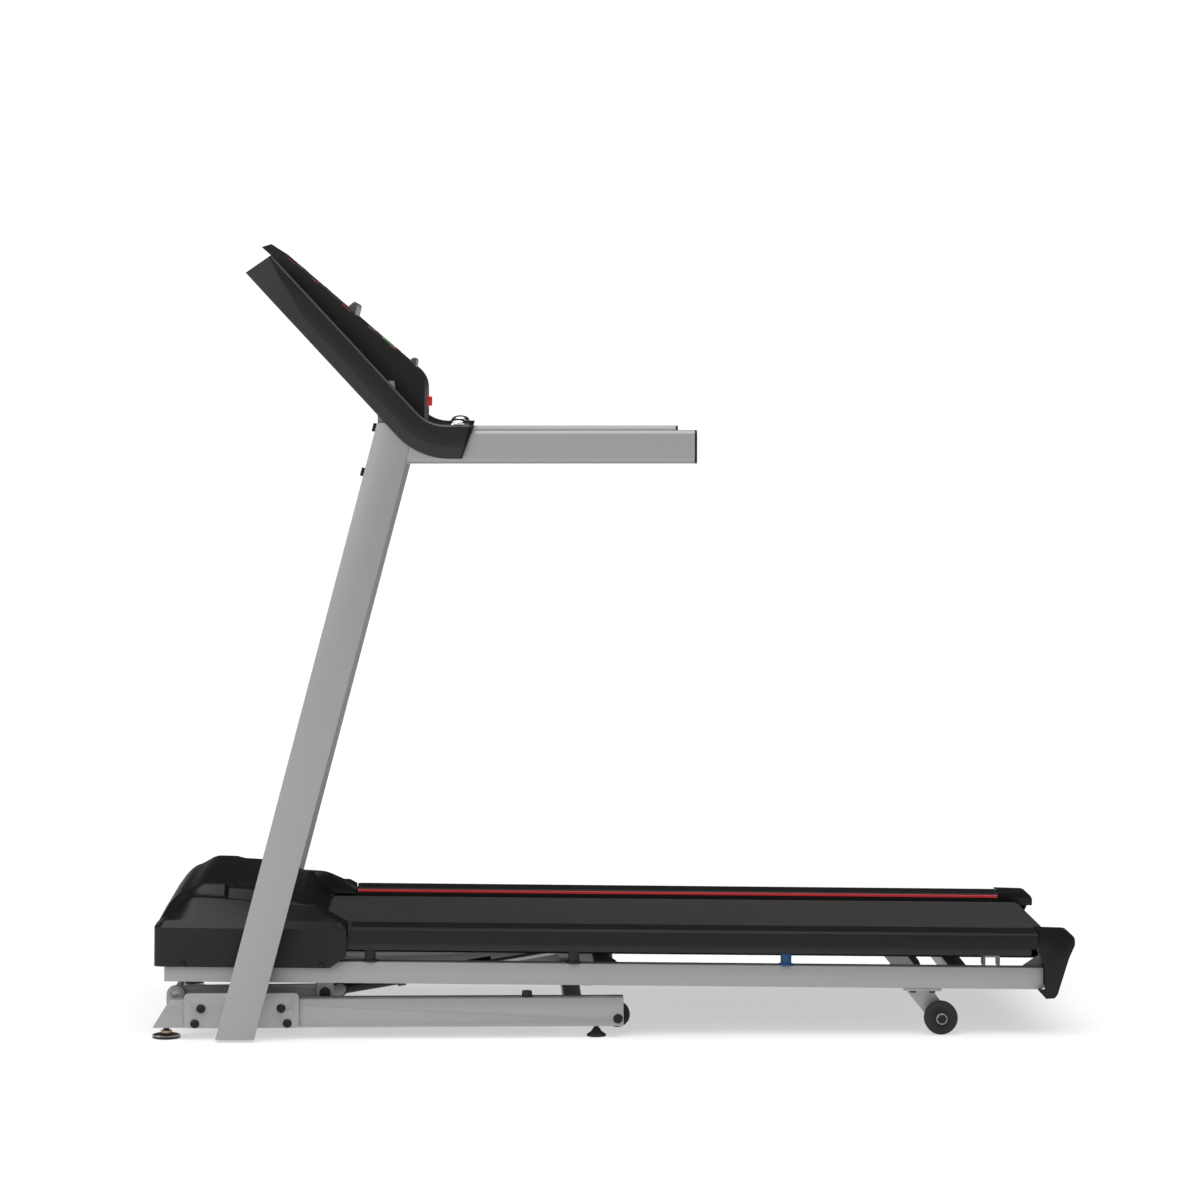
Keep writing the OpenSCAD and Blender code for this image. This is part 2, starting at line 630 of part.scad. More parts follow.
// Side outline of a tail cap
function cap_outline(inset) = [
    [tail_u - 59, foot_top + 2 - inset], [tail_u - 12, foot_top + 1 - inset],
    each arc(tail_u - 12, foot_top - 11, 12 - inset, 80, 0, 5), [tail_u - inset, 100],
    [tail_u - 9 - inset, 79], [tail_u - 27 - inset, 18], [tail_u - 32 - inset, 12 + inset],
    [tail_u - 46 + inset, 11 + inset], [tail_u - 58 + inset, 24 + inset], [tail_u - 48 + inset, 27],
    [tail_u - 49 + inset, 62], [tail_u - 56, 78], [tail_u - 59, 90]];
module end_cap() on_deck() difference() {
    side_plate(cap_outline(0), -hood_out, -foot_in);
    side_plate(cap_outline(3.5), -hood_out + 4, -foot_in - 2);
    block([tail_u - 60, -rail_in - 3, 0], [tail_u + 1, 0, 98]);
    block([tail_u - 70, -hood_out + 4, rail_low - gap], [rail_end + 1, -rail_in + 6, rail_top + 20]);
}
module end_cap_left() color("dimgray") end_cap();
module end_cap_right() color("dimgray") mirror([0, 1, 0]) end_cap();

// Hood: a low skirt over the full width and a hump over the drive motor
hump_top = 177;
hump_half = belt_w / 2 - 25;
mouth_u = 238;
module hood_shape(inset) {
    hull() {
        block([hood_front + inset, -hood_out + inset, hood_low - inset],
            [hood_end + inset, hood_out - inset, foot_top - 10]);
        block([hood_front + 22 + inset, -hood_out + 26, foot_top],
            [hood_end + inset, hood_out - 26, foot_top + 10 - inset]);
    }
    hull() {
        block([hood_front + 10 + inset, -hood_out + 16 + inset, foot_top - 20],
            [mouth_u - inset, hood_out - 16 - inset, foot_top - 15]);
        block([46, -hump_half, hump_top - 10], [190, hump_half, hump_top - inset]);
    }
}
module motor_hood() color("black") on_deck() difference() {
    hood_shape(0);
    hood_shape(cover_t);
    // Mouth over the belt and the board
    block([mouth_u - cover_t, -foot_in, 0], [hood_end + 5, foot_in, hump_top]);
    block([150, -board_out - 3, hood_low - 2], [hood_end + 5, board_out + 3, belt_top + 4]);
    block([hood_end - 10, -foot_out - 5, hood_low - 5], [hood_end + 5, foot_out + 5, hood_low + 14]);
    block([hood_front - 5, inlet_y - 14 - gap, 74 - gap], [hood_front + 8, inlet_y + 14 + gap, 94 + gap]);
    block([hood_front - 5, switch_y - 10 - gap, 76 - gap], [hood_front + 8, switch_y + 10 + gap, 92 + gap]);
}

inlet_y = -180;
switch_y = -220;
module power_inlet() color("black") on_deck() difference() {
    union() {
        block([hood_front - 2, inlet_y - 18, 70], [hood_front, inlet_y + 18, 98]);
        block([hood_front, inlet_y - 14, 74], [hood_front + 20, inlet_y + 14, 94]);
    }
    block([hood_front - 3, inlet_y - 11.5, 76], [hood_front + 16, inlet_y + 11.5, 92]);
}
module power_switch() color("red") on_deck()
    translate([hood_front + 4, switch_y + 9.5, 84]) rotate([90, 0, 0]) linear_extrude(19)
        polygon([[-5, -6.5], [-6, 0], [-8, 7], [5, 5.5], [5, -5.5]]);

motor_r = 40;
pulley_y = foot_in + 4;
pulley_r = 17;
big_pulley_r = 31;
pulley_t = 14;
motor_half = 80;
module drive_motor() color("dimgray") on_deck() difference() {
    union() {
        cross_bar(motor_u, motor_w, motor_r, -motor_half, motor_half + 60);
        cross_bar(motor_u, motor_w, motor_r - 8, motor_half + 60, motor_half + 74);
        block([motor_u - 26, -motor_half + 10, rail_low + 10 + bar_h], [motor_u + 26, -60, motor_w]);
    }
    cross_bar(motor_u, motor_w, 8 + fit, motor_half, motor_half + 80);
}
module motor_pulley() color("silver") on_deck() {
    cross_bar(motor_u, motor_w, 8, motor_half + 10, pulley_y);
    cross_bar(motor_u, motor_w, pulley_r, pulley_y, pulley_y + pulley_t);
    cross_bar(motor_u, motor_w, 36, motor_half + 78, motor_half + 92);
}
drive_len = norm([front_roller_u - motor_u, roller_w - motor_w]);
drive_dip = atan2(roller_w - motor_w, front_roller_u - motor_u);
// The straight runs touch both pulleys on their common tangents
belt_lean = asin((big_pulley_r - pulley_r) / drive_len);
function drive_loop(extra) = concat(
    arc(0, 0, pulley_r + extra, 90 + belt_lean, 270 - belt_lean, 24),
    arc(drive_len, 0, big_pulley_r + extra, -90 - belt_lean, 90 + belt_lean, 36));
module drive_belt() color("black") on_deck()
    translate([motor_u, 0, motor_w]) rotate([0, -drive_dip, 0]) difference() {
        side_plate(drive_loop(2.3), pulley_y + 2, pulley_y + pulley_t - 2);
        side_plate(drive_loop(0.3), pulley_y + 1, pulley_y + pulley_t - 1);
    }

module controller_box() color("green") on_deck()
    block([2, -foot_in + 10, rail_low + 10 + bar_h], [120, -160, 100]);

module roller(u, tail) on_deck() difference() {
    union() {
        cross_bar(u, roller_w, roller_r, -belt_w / 2 - 4, belt_w / 2 + tail);
        children();
    }
    cross_bar(u, roller_w, pin_r + fit, -belt_w / 2 - 5, foot_in + 40);
}
module front_roller() color("gainsboro") {
    roller(front_roller_u, pulley_y - belt_w / 2) {
        cross_bar(front_roller_u, roller_w, big_pulley_r, pulley_y, pulley_y + pulley_t);
    }
}
module rear_roller() color("gainsboro") roller(rear_roller_u, 4);

damper_u = [hood_end + 39, tail_u * 0.4424, tail_u * 0.6789];
module damper(u) translate([u, -rail_out + 9, rail_top]) {
    cylinder(r = 13, h = 2.5);
    cylinder(r = 9, h = board_low - rail_top);
}
module dampers() color("black") on_deck() both_sides() for (u = [damper_u[0], damper_u[1]]) damper(u);
module soft_dampers() color("navy") on_deck() both_sides() damper(damper_u[2]);

// Rear wheel arms: slanted channels bolted under the deck rails
arm_w = 34;
arm_skin = 4;
module wheel_arms() color("silver") on_deck() both_sides() difference() {
    union() {
        side_plate([[wheel_u - 58, rail_low - 5], [wheel_u - 14, rail_low - 5], [wheel_u + 15, wheel_low + 7],
            each arc(wheel_u, wheel_low, 16, 20, -150, 12)], -rail_in - 5 - arm_skin, -rail_in - 5);
        block([wheel_u - 62, -rail_out + 2, rail_low - 5], [wheel_u, -rail_in - 5, rail_low]);
        // Fixed axle of the wheel
        cross_bar(wheel_u, wheel_low, 5, -rail_in - 12 - wheel_w - arm_skin, -rail_in - 5);
        cross_bar(wheel_u, wheel_low, 9, -rail_in - 14 - wheel_w - arm_skin, -rail_in - 10 - wheel_w - arm_skin);
    }
}
module rear_wheel() on_deck()
    translate([wheel_u, -rail_in - 6 - arm_skin, wheel_low]) rotate([90, 0, 0])
        rotate_extrude() polygon([[5 + fit, 0], [10, 0], [10, 2], [wheel_r - 2, 2], [wheel_r, 5],
            [wheel_r, wheel_w - 5], [wheel_r - 2, wheel_w - 2], [10, wheel_w - 2], [10, wheel_w], [5 + fit, wheel_w]]);
module rear_wheel_left() color("black") rear_wheel();
module rear_wheel_right() color("black") mirror([0, 1, 0]) rear_wheel();

// ---------------------------------------------------------------- incline actuator and gas strut

lift_tube = 62;
module lift_motor() color("dimgray") on_deck() difference() {
    union() {
        cross_bar(lift_u, lift_top_w, pin_r - 1, -33, 33);
        block([lift_u - 24, -26, lift_top_w - 22], [lift_u + 24, 26, lift_top_w + 20]);
        translate([lift_u, 0, lift_top_w - 22 - lift_tube]) cylinder(r = 14, h = lift_tube + 1);
    }
    translate([lift_u, 0, lift_top_w - 25 - lift_tube]) cylinder(r = 8 + gap, h = lift_tube + 10);
}
lift_slack = 3;
module lift_screw() color("silver") on_deck() difference() {
    union() {
        translate([lift_u, 0, lift_low_w + 8]) cylinder(r = 8, h = 88);
        cross_bar(lift_u, lift_low_w, 5 + lift_slack + 5, -9, 9);
    }
    cross_bar(lift_u, lift_low_w, 5 + lift_slack, -10, 10);
}

// The strut is drawn along X from the middle of its foot and turned to its resting line
strut_head_x = pivot_x + strut_u * cos(deck_tilt) + strut_w * sin(deck_tilt);
strut_head_z = pivot_z - strut_u * sin(deck_tilt) + strut_w * cos(deck_tilt);
strut_len = norm([strut_head_x - strut_x, strut_head_z - strut_z]);
strut_rise = atan2(strut_head_z - strut_z, strut_head_x - strut_x);
module on_strut() translate([strut_x, 0, strut_z]) rotate([0, -strut_rise, 0]) children();
module along(from, to, r) translate([from, 0, 0]) rotate([0, 90, 0]) cylinder(r = r, h = to - from);

barrel_r = 11;
barrel_end = 262;
bush_r = 8;
piston_at = 42;
module strut_bush() color("gold") on_strut() difference() {
    cross_bar(0, 0, bush_r, -12, 12);
    cross_bar(0, 0, 5 + fit, -13, 13);
}
module strut_cylinder() color("black") on_strut() difference() {
    union() {
        cross_bar(0, 0, bush_r + 5, -11, 11);
        along(8, barrel_end, barrel_r);
        // Collar and ears of the latch
        along(98, 112, barrel_r + 3);
        both_sides() block([100, -9, barrel_r], [110, -6, barrel_r + 11]);
    }
    cross_bar(0, 0, bush_r + fit, -12, 12);
    along(16, barrel_end - 12, barrel_r - 2);
    along(barrel_end - 20, barrel_end + 1, 5.5);
}
module strut_piston() color("gray") on_strut() difference() {
    along(piston_at - 14, piston_at - 4, barrel_r - 2.3);
    along(piston_at - 10, piston_at, 4);
}
module strut_rod() color("gainsboro") on_strut() difference() {
    union() {
        along(piston_at - 3, strut_len - 6, 5);
        cross_bar(strut_len, 0, 7.5, -9, 9);
    }
    cross_bar(strut_len, 0, 5, -10, 10);
}
module strut_latch() color("red") on_strut() {
    cross_bar(105, barrel_r + 7, 3.5, -5.5, 5.5);
    side_plate([[104, barrel_r + 5], [106, barrel_r + 4.2], [134, barrel_r + 7], [132, barrel_r + 12],
        [104, barrel_r + 10]], -5.5, 5.5);
}

base_tube_left();
base_tube_right();
base_crossbars();
frame_bolts();
upright_left();
upright_right();
handrail_left();
handrail_right();
handrail_caps();
levelling_feet();
rear_feet();
bumpers();
console_frame();
console_back();
console_face();
side_cover_left();
side_cover_right();
display_window();
tablet_ledge();
pulse_sensors();
start_button();
stop_button();
speed_rocker();
incline_rocker();
safety_key();
transport_wheel_left();
transport_wheel_right();
fold_shaft();
lift_frame();
deck_rail_left();
deck_rail_right();
deck_crossbars();
deck_bolts();
deck_board();
running_belt();
foot_rail_left();
foot_rail_right();
end_cap_left();
end_cap_right();
motor_hood();
drive_motor();
motor_pulley();
drive_belt();
controller_box();
power_inlet();
power_switch();
front_roller();
rear_roller();
dampers();
soft_dampers();
wheel_arms();
rear_wheel_left();
rear_wheel_right();
lift_motor();
lift_screw();
strut_bush();
strut_cylinder();
strut_piston();
strut_rod();
strut_latch();
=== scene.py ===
"""Looks of a folding treadmill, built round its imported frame.

Sizes inside the classes are in millimetres. The deck's own axes are u, along the deck from the
folding pivot, y across it and w above it.
"""

import json
import logging
import math
from dataclasses import dataclass
from enum import Enum
from typing import Callable, Sequence

import bmesh
import bpy
from mathutils import Matrix, Vector

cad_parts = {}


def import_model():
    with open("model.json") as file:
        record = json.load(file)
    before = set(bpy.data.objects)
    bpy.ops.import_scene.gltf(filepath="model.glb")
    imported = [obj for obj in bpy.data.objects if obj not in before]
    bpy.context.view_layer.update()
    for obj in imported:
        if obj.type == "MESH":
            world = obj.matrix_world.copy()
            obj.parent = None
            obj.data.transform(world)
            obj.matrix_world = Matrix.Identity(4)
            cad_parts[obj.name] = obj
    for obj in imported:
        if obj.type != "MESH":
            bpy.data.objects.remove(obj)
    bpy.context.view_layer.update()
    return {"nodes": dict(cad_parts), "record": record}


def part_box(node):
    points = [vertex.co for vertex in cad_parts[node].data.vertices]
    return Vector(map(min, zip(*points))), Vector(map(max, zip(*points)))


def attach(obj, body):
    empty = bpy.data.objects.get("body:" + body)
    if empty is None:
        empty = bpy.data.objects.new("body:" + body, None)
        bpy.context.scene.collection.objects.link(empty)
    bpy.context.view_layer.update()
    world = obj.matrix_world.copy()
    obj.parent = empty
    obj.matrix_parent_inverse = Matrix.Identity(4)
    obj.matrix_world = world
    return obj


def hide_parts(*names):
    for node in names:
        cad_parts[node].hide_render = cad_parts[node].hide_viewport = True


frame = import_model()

LOG = logging.getLogger("treadmill")
MM = 0.001
DECK_TILT = math.radians(0.75)
BODY_OF = {node: body for body, nodes in frame["record"]["behaviour"]["bodies"].items() for node in nodes}
SHAFT_LOW, SHAFT_HIGH = (Vector(corner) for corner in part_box("fold_shaft"))
PIVOT = Vector(((SHAFT_LOW.x + SHAFT_HIGH.x) / 2, 0.0, (SHAFT_LOW.z + SHAFT_HIGH.z) / 2))
Outline = Sequence[tuple[float, float]]


class Side(Enum):
    """The runner's two sides, as the sign of Y."""

    LEFT = -1
    RIGHT = 1

    @property
    def word(self) -> str:
        """The side's name as node names end."""
        return self.name.lower()


class Effect(Enum):
    """The surface detail that a finish carries."""

    GRAIN = "grain"
    BRUSHED = "brushed"
    WEAVE = "weave"


# ---------------------------------------------------------------- geometry helpers


def deck(u: float, y: float, w: float) -> Vector:
    """A point of the deck, given in its own axes in millimetres, in the frame's metres."""
    turn = Matrix.Rotation(DECK_TILT, 3, "Y")
    return PIVOT + turn @ (Vector((u, y, w)) * MM)


def world(x: float, y: float, z: float) -> Vector:
    """A point given in millimetres, in metres."""
    return Vector((x, y, z)) * MM


def smooth_step(value: float) -> float:
    """Eases 0 to 1, flat beyond both ends."""
    t = min(max(value, 0.0), 1.0)
    return t * t * (3 - 2 * t)


def mix(a: float, b: float, t: float) -> float:
    """Straight blend from a to b."""
    return a + (b - a) * t


def curve_at(points: Outline, x: float) -> float:
    """Height of a smooth curve through points that never overshoots them.

    Args:
        points: (x, value) pairs in rising x.
        x: where to read the curve.

    Returns:
        The value at x, held flat beyond both ends.
    """
    if x <= points[0][0]:
        return points[0][1]
    slopes = [(b[1] - a[1]) / (b[0] - a[0]) for a, b in zip(points, points[1:])]
    bends = [slopes[0]]
    for before, after in zip(slopes, slopes[1:]):
        bends.append(0.0 if before * after <= 0 else 2 * before * after / (before + after))
    bends.append(slopes[-1])
    for k, (a, b) in enumerate(zip(points, points[1:])):
        if x <= b[0]:
            span = b[0] - a[0]
            t = (x - a[0]) / span
            return (
                (2 * t**3 - 3 * t**2 + 1) * a[1]
                + (t**3 - 2 * t**2 + t) * span * bends[k]
                + (3 * t**2 - 2 * t**3) * b[1]
                + (t**3 - t**2) * span * bends[k + 1]
            )
    return points[-1][1]


def steps(*parts: float) -> list[float]:
    """Stations from runs given as start, end, step, start, end, step and so on."""
    found: list[float] = []
    for start, end, step in zip(parts[::3], parts[1::3], parts[2::3]):
        count = max(1, round((end - start) / step))
        found += [start + (end - start) * k / count for k in range(count)]
    return found + [parts[-2]]


def finish_mesh(mesh: bpy.types.Mesh, sharp_deg: float = 32.0) -> None:
    """Smooth shading with hard edges where faces meet at more than an angle."""
    for face in mesh.polygons:
        face.use_smooth = True
    mesh.set_sharp_from_angle(angle=math.radians(sharp_deg))


def bake(obj: bpy.types.Object, sharp_deg: float = 32.0) -> bpy.types.Object:
    """Turns an object with modifiers into one with a plain mesh.

    Args:
        obj: the object, which is taken away.
        sharp_deg: edges sharper than this stay hard.

    Returns:
        The new object under the same name.
    """
    graph = bpy.context.evaluated_depsgraph_get()
    graph.update()
    mesh = bpy.data.meshes.new_from_object(obj.evaluated_get(graph))
    name = obj.name
    bpy.data.objects.remove(obj)
    made = bpy.data.objects.new(name, mesh)
    bpy.context.scene.collection.objects.link(made)
    finish_mesh(mesh, sharp_deg)
    return made


def object_from(name: str, bm: bmesh.types.BMesh, materials: Sequence[bpy.types.Material],
                outward: bool = True) -> bpy.types.Object:
    """An object from a bmesh, with its faces turned outwards.

    Args:
        name: the piece's name.
        bm: the shape, which is freed.
        materials: finishes in the order of the faces' material indices.
        outward: works out the faces' directions afresh.

    Returns:
        The linked object.
    """
    bmesh.ops.remove_doubles(bm, verts=bm.verts, dist=1e-6)
    if outward:
        bmesh.ops.recalc_face_normals(bm, faces=bm.faces)
    mesh = bpy.data.meshes.new(name)
    bm.to_mesh(mesh)
    bm.free()
    for material in materials:
        mesh.materials.append(material)
    obj = bpy.data.objects.new(name, mesh)
    bpy.context.scene.collection.objects.link(obj)
    finish_mesh(mesh)
    return obj


def add_grid(bm: bmesh.types.BMesh, rows: Sequence[Sequence[Vector]], material: int = 0,
             wrap: bool = False) -> list[list[bmesh.types.BMVert]]:
    """Adds a sheet of quads through rows of points.

    Args:
        bm: where it is added.
        rows: equally long rows of points in metres.
        material: the material index of its faces.
        wrap: joins each row's end to its start.

    Returns:
        The vertices, row by row.
    """
    verts = [[bm.verts.new(point) for point in row] for row in rows]
    count = len(rows[0])
    for a, b in zip(verts, verts[1:]):
        for k in range(count if wrap else count - 1):
            face = bm.faces.new((a[k], a[(k + 1) % count], b[(k + 1) % count], b[k]))
            face.material_index = material
    return verts


def add_turned(bm: bmesh.types.BMesh, profile: Outline, place: Callable[[float, float, float], Vector],
               material: int = 0, sides: int = 48) -> None:
    """Adds a solid turned from a profile that starts and ends on its axis or on itself.

    Args:
        bm: where it is added.
        profile: (radius, along) pairs in millimetres.
        place: gives the point for two cross coordinates and one along the axis.
        material: the material index of its faces.
        sides: facets round the axis, 6 for a hexagon.
    """
    rings = []
    for radius, along in profile:
        angles = [2 * math.pi * k / sides for k in range(sides)]
        rings.append([place(radius * math.cos(a), radius * math.sin(a), along) for a in angles])
    verts = [[bm.verts.new(p) for p in ring] if profile[i][0] > 1e-6 else [bm.verts.new(ring[0])]
             for i, ring in enumerate(rings)]
    for a, b in zip(verts, verts[1:]):
        for k in range(sides):
            n = (k + 1) % sides
            ring = [a[k % len(a)], a[n % len(a)], b[n % len(b)], b[k % len(b)]]
            loop = [v for i, v in enumerate(ring) if v not in ring[:i]]
            if len(loop) > 2:
                bm.faces.new(loop).material_index = material


def add_prism(bm: bmesh.types.BMesh, outline: Sequence[Vector], push: Vector, material: int = 0) -> None:
    """Adds a solid between an outline and its copy moved by push."""
    low = [bm.verts.new(p) for p in outline]
    high = [bm.verts.new(p + push) for p in outline]
    faces = [bm.faces.new(low), bm.faces.new(high[::-1])]
    faces += [bm.faces.new((low[k], high[k], high[(k + 1) % len(low)], low[(k + 1) % len(low)]))
              for k in range(len(low))]
    for face in faces:
        face.material_index = material


def install(obj: bpy.types.Object, body: str, slot: str, *nodes: str) -> bpy.types.Object:
    """Puts a finished piece on its body, in place of CAD nodes.

    Args:
        obj: the piece.
        body: the body it moves with.
        slot: the record's material slot; not used.
        nodes: the CAD nodes it stands for.

    Returns:
        The same piece.
    """
    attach(obj, body)
    if nodes:
        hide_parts(*nodes)
    LOG.info("%s rides on %s, %d faces", obj.name, body, len(obj.data.polygons))
    return obj


# ---------------------------------------------------------------- finishes


@dataclass(frozen=True)
class Finish:
    """One surface finish."""

    name: str
    colour: tuple[float, float, float]
    fleck: tuple[float, float, float]
    roughness: float
    spread: float = 0.06
    metallic: float = 0.0
    scale: float = 900.0
    depth: float = 0.00004
    dust: float = 0.1
    coat: float = 0.0
    specular: float = 0.5
    effect: Effect = Effect.GRAIN

    def material(self) -> bpy.types.Material:
        """Builds the finish's material once and returns it."""
        found = bpy.data.materials.get(self.name)
        if found:
            return found
        made = bpy.data.materials.new(self.name)
        made.use_nodes = True
        tree = made.node_tree
        shader = tree.nodes["Principled BSDF"]
        shader.inputs["Metallic"].default_value = self.metallic
        shader.inputs["Specular IOR Level"].default_value = self.specular
        shader.inputs["Coat Weight"].default_value = self.coat
        shader.inputs["Coat Roughness"].default_value = 0.12
        detail = tree.nodes.new("ShaderNodeGroup")
        detail.node_tree = EffectGroups.group(self.effect)
        wear = tree.nodes.new("ShaderNodeGroup")
        wear.node_tree = EffectGroups.wear()
        detail.inputs["Colour"].default_value = (*self.colour, 1)
        detail.inputs["Fleck"].default_value = (*self.fleck, 1)
        detail.inputs["Scale"].default_value = self.scale
        wear.inputs["Roughness"].default_value = self.roughness
        wear.inputs["Spread"].default_value = self.spread
        wear.inputs["Dust"].default_value = self.dust
        bump = tree.nodes.new("ShaderNodeBump")
        bump.inputs["Strength"].default_value = 0.6
        bump.inputs["Distance"].default_value = self.depth
        link = tree.links.new
        link(detail.outputs["Colour"], wear.inputs["Colour"])
        link(wear.outputs["Colour"], shader.inputs["Base Color"])
        link(wear.outputs["Roughness"], shader.inputs["Roughness"])
        link(detail.outputs["Height"], bump.inputs["Height"])
        link(bump.outputs["Normal"], shader.inputs["Normal"])
        return made


class EffectGroups:
    """Shader node groups that the finishes share."""

    @staticmethod
    def _start(name: str, colours: Sequence[str], values: Sequence[str],
               out_colours: Sequence[str], out_values: Sequence[str]) -> bpy.types.ShaderNodeTree:
        """A new group with its named sockets."""
        tree = bpy.data.node_groups.new(name, "ShaderNodeTree")
        for names, kind, way in ((colours, "NodeSocketColor", "INPUT"), (values, "NodeSocketFloat", "INPUT"),
                                 (out_colours, "NodeSocketColor", "OUTPUT"),
                                 (out_values, "NodeSocketFloat", "OUTPUT")):
            for socket in names:
                tree.interface.new_socket(name=socket, in_out=way, socket_type=kind)
        tree.nodes.new("NodeGroupInput").name = "in"
        tree.nodes.new("NodeGroupOutput").name = "out"
        return tree

    @staticmethod
    def group(effect: Effect) -> bpy.types.ShaderNodeTree:
        """The group that draws an effect: flecked grain, brush lines or a woven belt."""
        name = f"effect_{effect.value}"
        if name in bpy.data.node_groups:
            return bpy.data.node_groups[name]
        tree = EffectGroups._start(name, ("Colour", "Fleck"), ("Scale",), ("Colour",), ("Height",))
        nodes, link = tree.nodes, tree.links.new
        coords = nodes.new("ShaderNodeTexCoord")
        stretch = nodes.new("ShaderNodeMapping")
        stretch.inputs["Scale"].default_value = {
            Effect.GRAIN: (1, 1, 1), Effect.BRUSHED: (0.04, 1, 1), Effect.WEAVE: (1, 1, 1)}[effect]
        noise = nodes.new("ShaderNodeTexNoise")
        noise.inputs["Detail"].default_value = 3
        noise.inputs["Roughness"].default_value = 0.65
        ramp = nodes.new("ShaderNodeMapRange")
        low, high = {Effect.GRAIN: (0.35, 0.72), Effect.BRUSHED: (0.3, 0.7),
                     Effect.WEAVE: (0.5, 0.68)}[effect]
        ramp.inputs["From Min"].default_value = low
        ramp.inputs["From Max"].default_value = high
        blend = nodes.new("ShaderNodeMix")
        blend.data_type = "RGBA"
        link(coords.outputs["Object"], stretch.inputs["Vector"])
        link(stretch.outputs["Vector"], noise.inputs["Vector"])
        link(nodes["in"].outputs["Scale"], noise.inputs["Scale"])
        link(noise.outputs["Fac"], ramp.inputs["Value"])
        link(ramp.outputs["Result"], blend.inputs["Factor"])
        link(nodes["in"].outputs["Colour"], blend.inputs["A"])
        link(nodes["in"].outputs["Fleck"], blend.inputs["B"])
        link(blend.outputs["Result"], nodes["out"].inputs["Colour"])
        link(ramp.outputs["Result"], nodes["out"].inputs["Height"])
        return tree

    @staticmethod
    def wear() -> bpy.types.ShaderNodeTree:
        """The group that adds broad smudges and a thin film of dust on upward faces."""
        if "wear_and_dust" in bpy.data.node_groups:
            return bpy.data.node_groups["wear_and_dust"]
        tree = EffectGroups._start("wear_and_dust", ("Colour",), ("Roughness", "Spread", "Dust"),
                                   ("Colour",), ("Roughness",))
        nodes, link = tree.nodes, tree.links.new
        coords = nodes.new("ShaderNodeTexCoord")
        noise = nodes.new("ShaderNodeTexNoise")
        noise.inputs["Scale"].default_value = 14
        noise.inputs["Detail"].default_value = 5
        centre = nodes.new("ShaderNodeMath")
        centre.operation = "SUBTRACT"
        centre.inputs[1].default_value = 0.5
        spread = nodes.new("ShaderNodeMath")
        spread.operation = "MULTIPLY_ADD"
        spread.use_clamp = True
        shape = nodes.new("ShaderNodeNewGeometry")
        up = nodes.new("ShaderNodeSeparateXYZ")
        film = nodes.new("ShaderNodeMath")
        film.operation = "MULTIPLY"
        film.use_clamp = True
        part = nodes.new("ShaderNodeMath")
        part.operation = "MULTIPLY"
        scaled = nodes.new("ShaderNodeMath")
        scaled.operation = "MULTIPLY"
        scaled.inputs[1].default_value = 0.09
        blend = nodes.new("ShaderNodeMix")
        blend.data_type = "RGBA"
        blend.inputs["B"].default_value = (0.30, 0.29, 0.28, 1)
        link(coords.outputs["Object"], noise.inputs["Vector"])
        link(noise.outputs["Fac"], centre.inputs[0])
        link(centre.outputs[0], spread.inputs[0])
        link(nodes["in"].outputs["Spread"], spread.inputs[1])
        link(nodes["in"].outputs["Roughness"], spread.inputs[2])
        link(spread.outputs[0], nodes["out"].inputs["Roughness"])
        link(shape.outputs["Normal"], up.inputs["Vector"])
        link(up.outputs["Z"], film.inputs[0])
        link(noise.outputs["Fac"], film.inputs[1])
        link(film.outputs[0], part.inputs[0])
        link(nodes["in"].outputs["Dust"], part.inputs[1])
        link(part.outputs[0], scaled.inputs[0])
        link(scaled.outputs[0], blend.inputs["Factor"])
        link(nodes["in"].outputs["Colour"], blend.inputs["A"])
        link(blend.outputs["Result"], nodes["out"].inputs["Colour"])
        return tree


POWDER = Finish("grey_powder_coat", (0.285, 0.285, 0.281), (0.365, 0.365, 0.36),
                0.5, scale=700, depth=0.00006)
FASTENER = Finish("black_oxide", (0.012, 0.012, 0.012), (0.03, 0.03, 0.03), 0.36, metallic=0.7)
COVER = Finish("cover_charcoal", (0.010, 0.010, 0.010), (0.016, 0.016, 0.016), 0.34, scale=1400,
               depth=0.00003, specular=0.4)
COVER_LOW = Finish("cover_lower_band", (0.024, 0.024, 0.024), (0.034, 0.034, 0.034),
                   0.5, scale=1400, depth=0.00003,
                   specular=0.2)
# A lighter charcoal for the strip along the covers' upper edge: a painted highlight where the edge catches
# light.
EDGE = Finish("cover_edge", (0.06, 0.06, 0.06), (0.09, 0.09, 0.09),
              0.35, scale=1400, depth=0.00003, specular=0.3)
FACE = Finish("face_charcoal", (0.014, 0.014, 0.014), (0.022, 0.022, 0.022), 0.52, scale=1400,
              depth=0.00003, specular=0.14)
HOOD = Finish("hood_satin", (0.004, 0.004, 0.0042), (0.008, 0.008, 0.008), 0.34, scale=1200, depth=0.00002,
              specular=0.24)
# The hood's black painted lighter for its walls: painted light on the sides, which catch more light than the
# top.
SKIRT_PAINTED_LIGHT = Finish("hood_skirt_matt", (0.016, 0.016, 0.016), (0.027, 0.027, 0.027), 0.55, scale=1100,
               depth=0.00004, specular=0.12)
SCREEN = Finish("screen_tinted", (0.004, 0.006, 0.008), (0.006, 0.009, 0.012), 0.08, spread=0.03, coat=1.0)
LEDGE = Finish("ledge_soft_grey", (0.10, 0.10, 0.10), (0.14, 0.14, 0.14), 0.4)
CHROME = Finish("chrome_dome", (0.62, 0.62, 0.62), (0.7, 0.7, 0.7),
                0.3, spread=0.05, metallic=0.55, depth=0.000005)
RED = Finish("red_gloss", (0.62, 0.012, 0.014), (0.7, 0.02, 0.02), 0.25)
STRIPE = Finish("red_stripe", (0.60, 0.02, 0.035), (0.66, 0.04, 0.05), 0.45)
GREEN = Finish("green_gloss", (0.03, 0.32, 0.09), (0.04, 0.38, 0.12), 0.25)
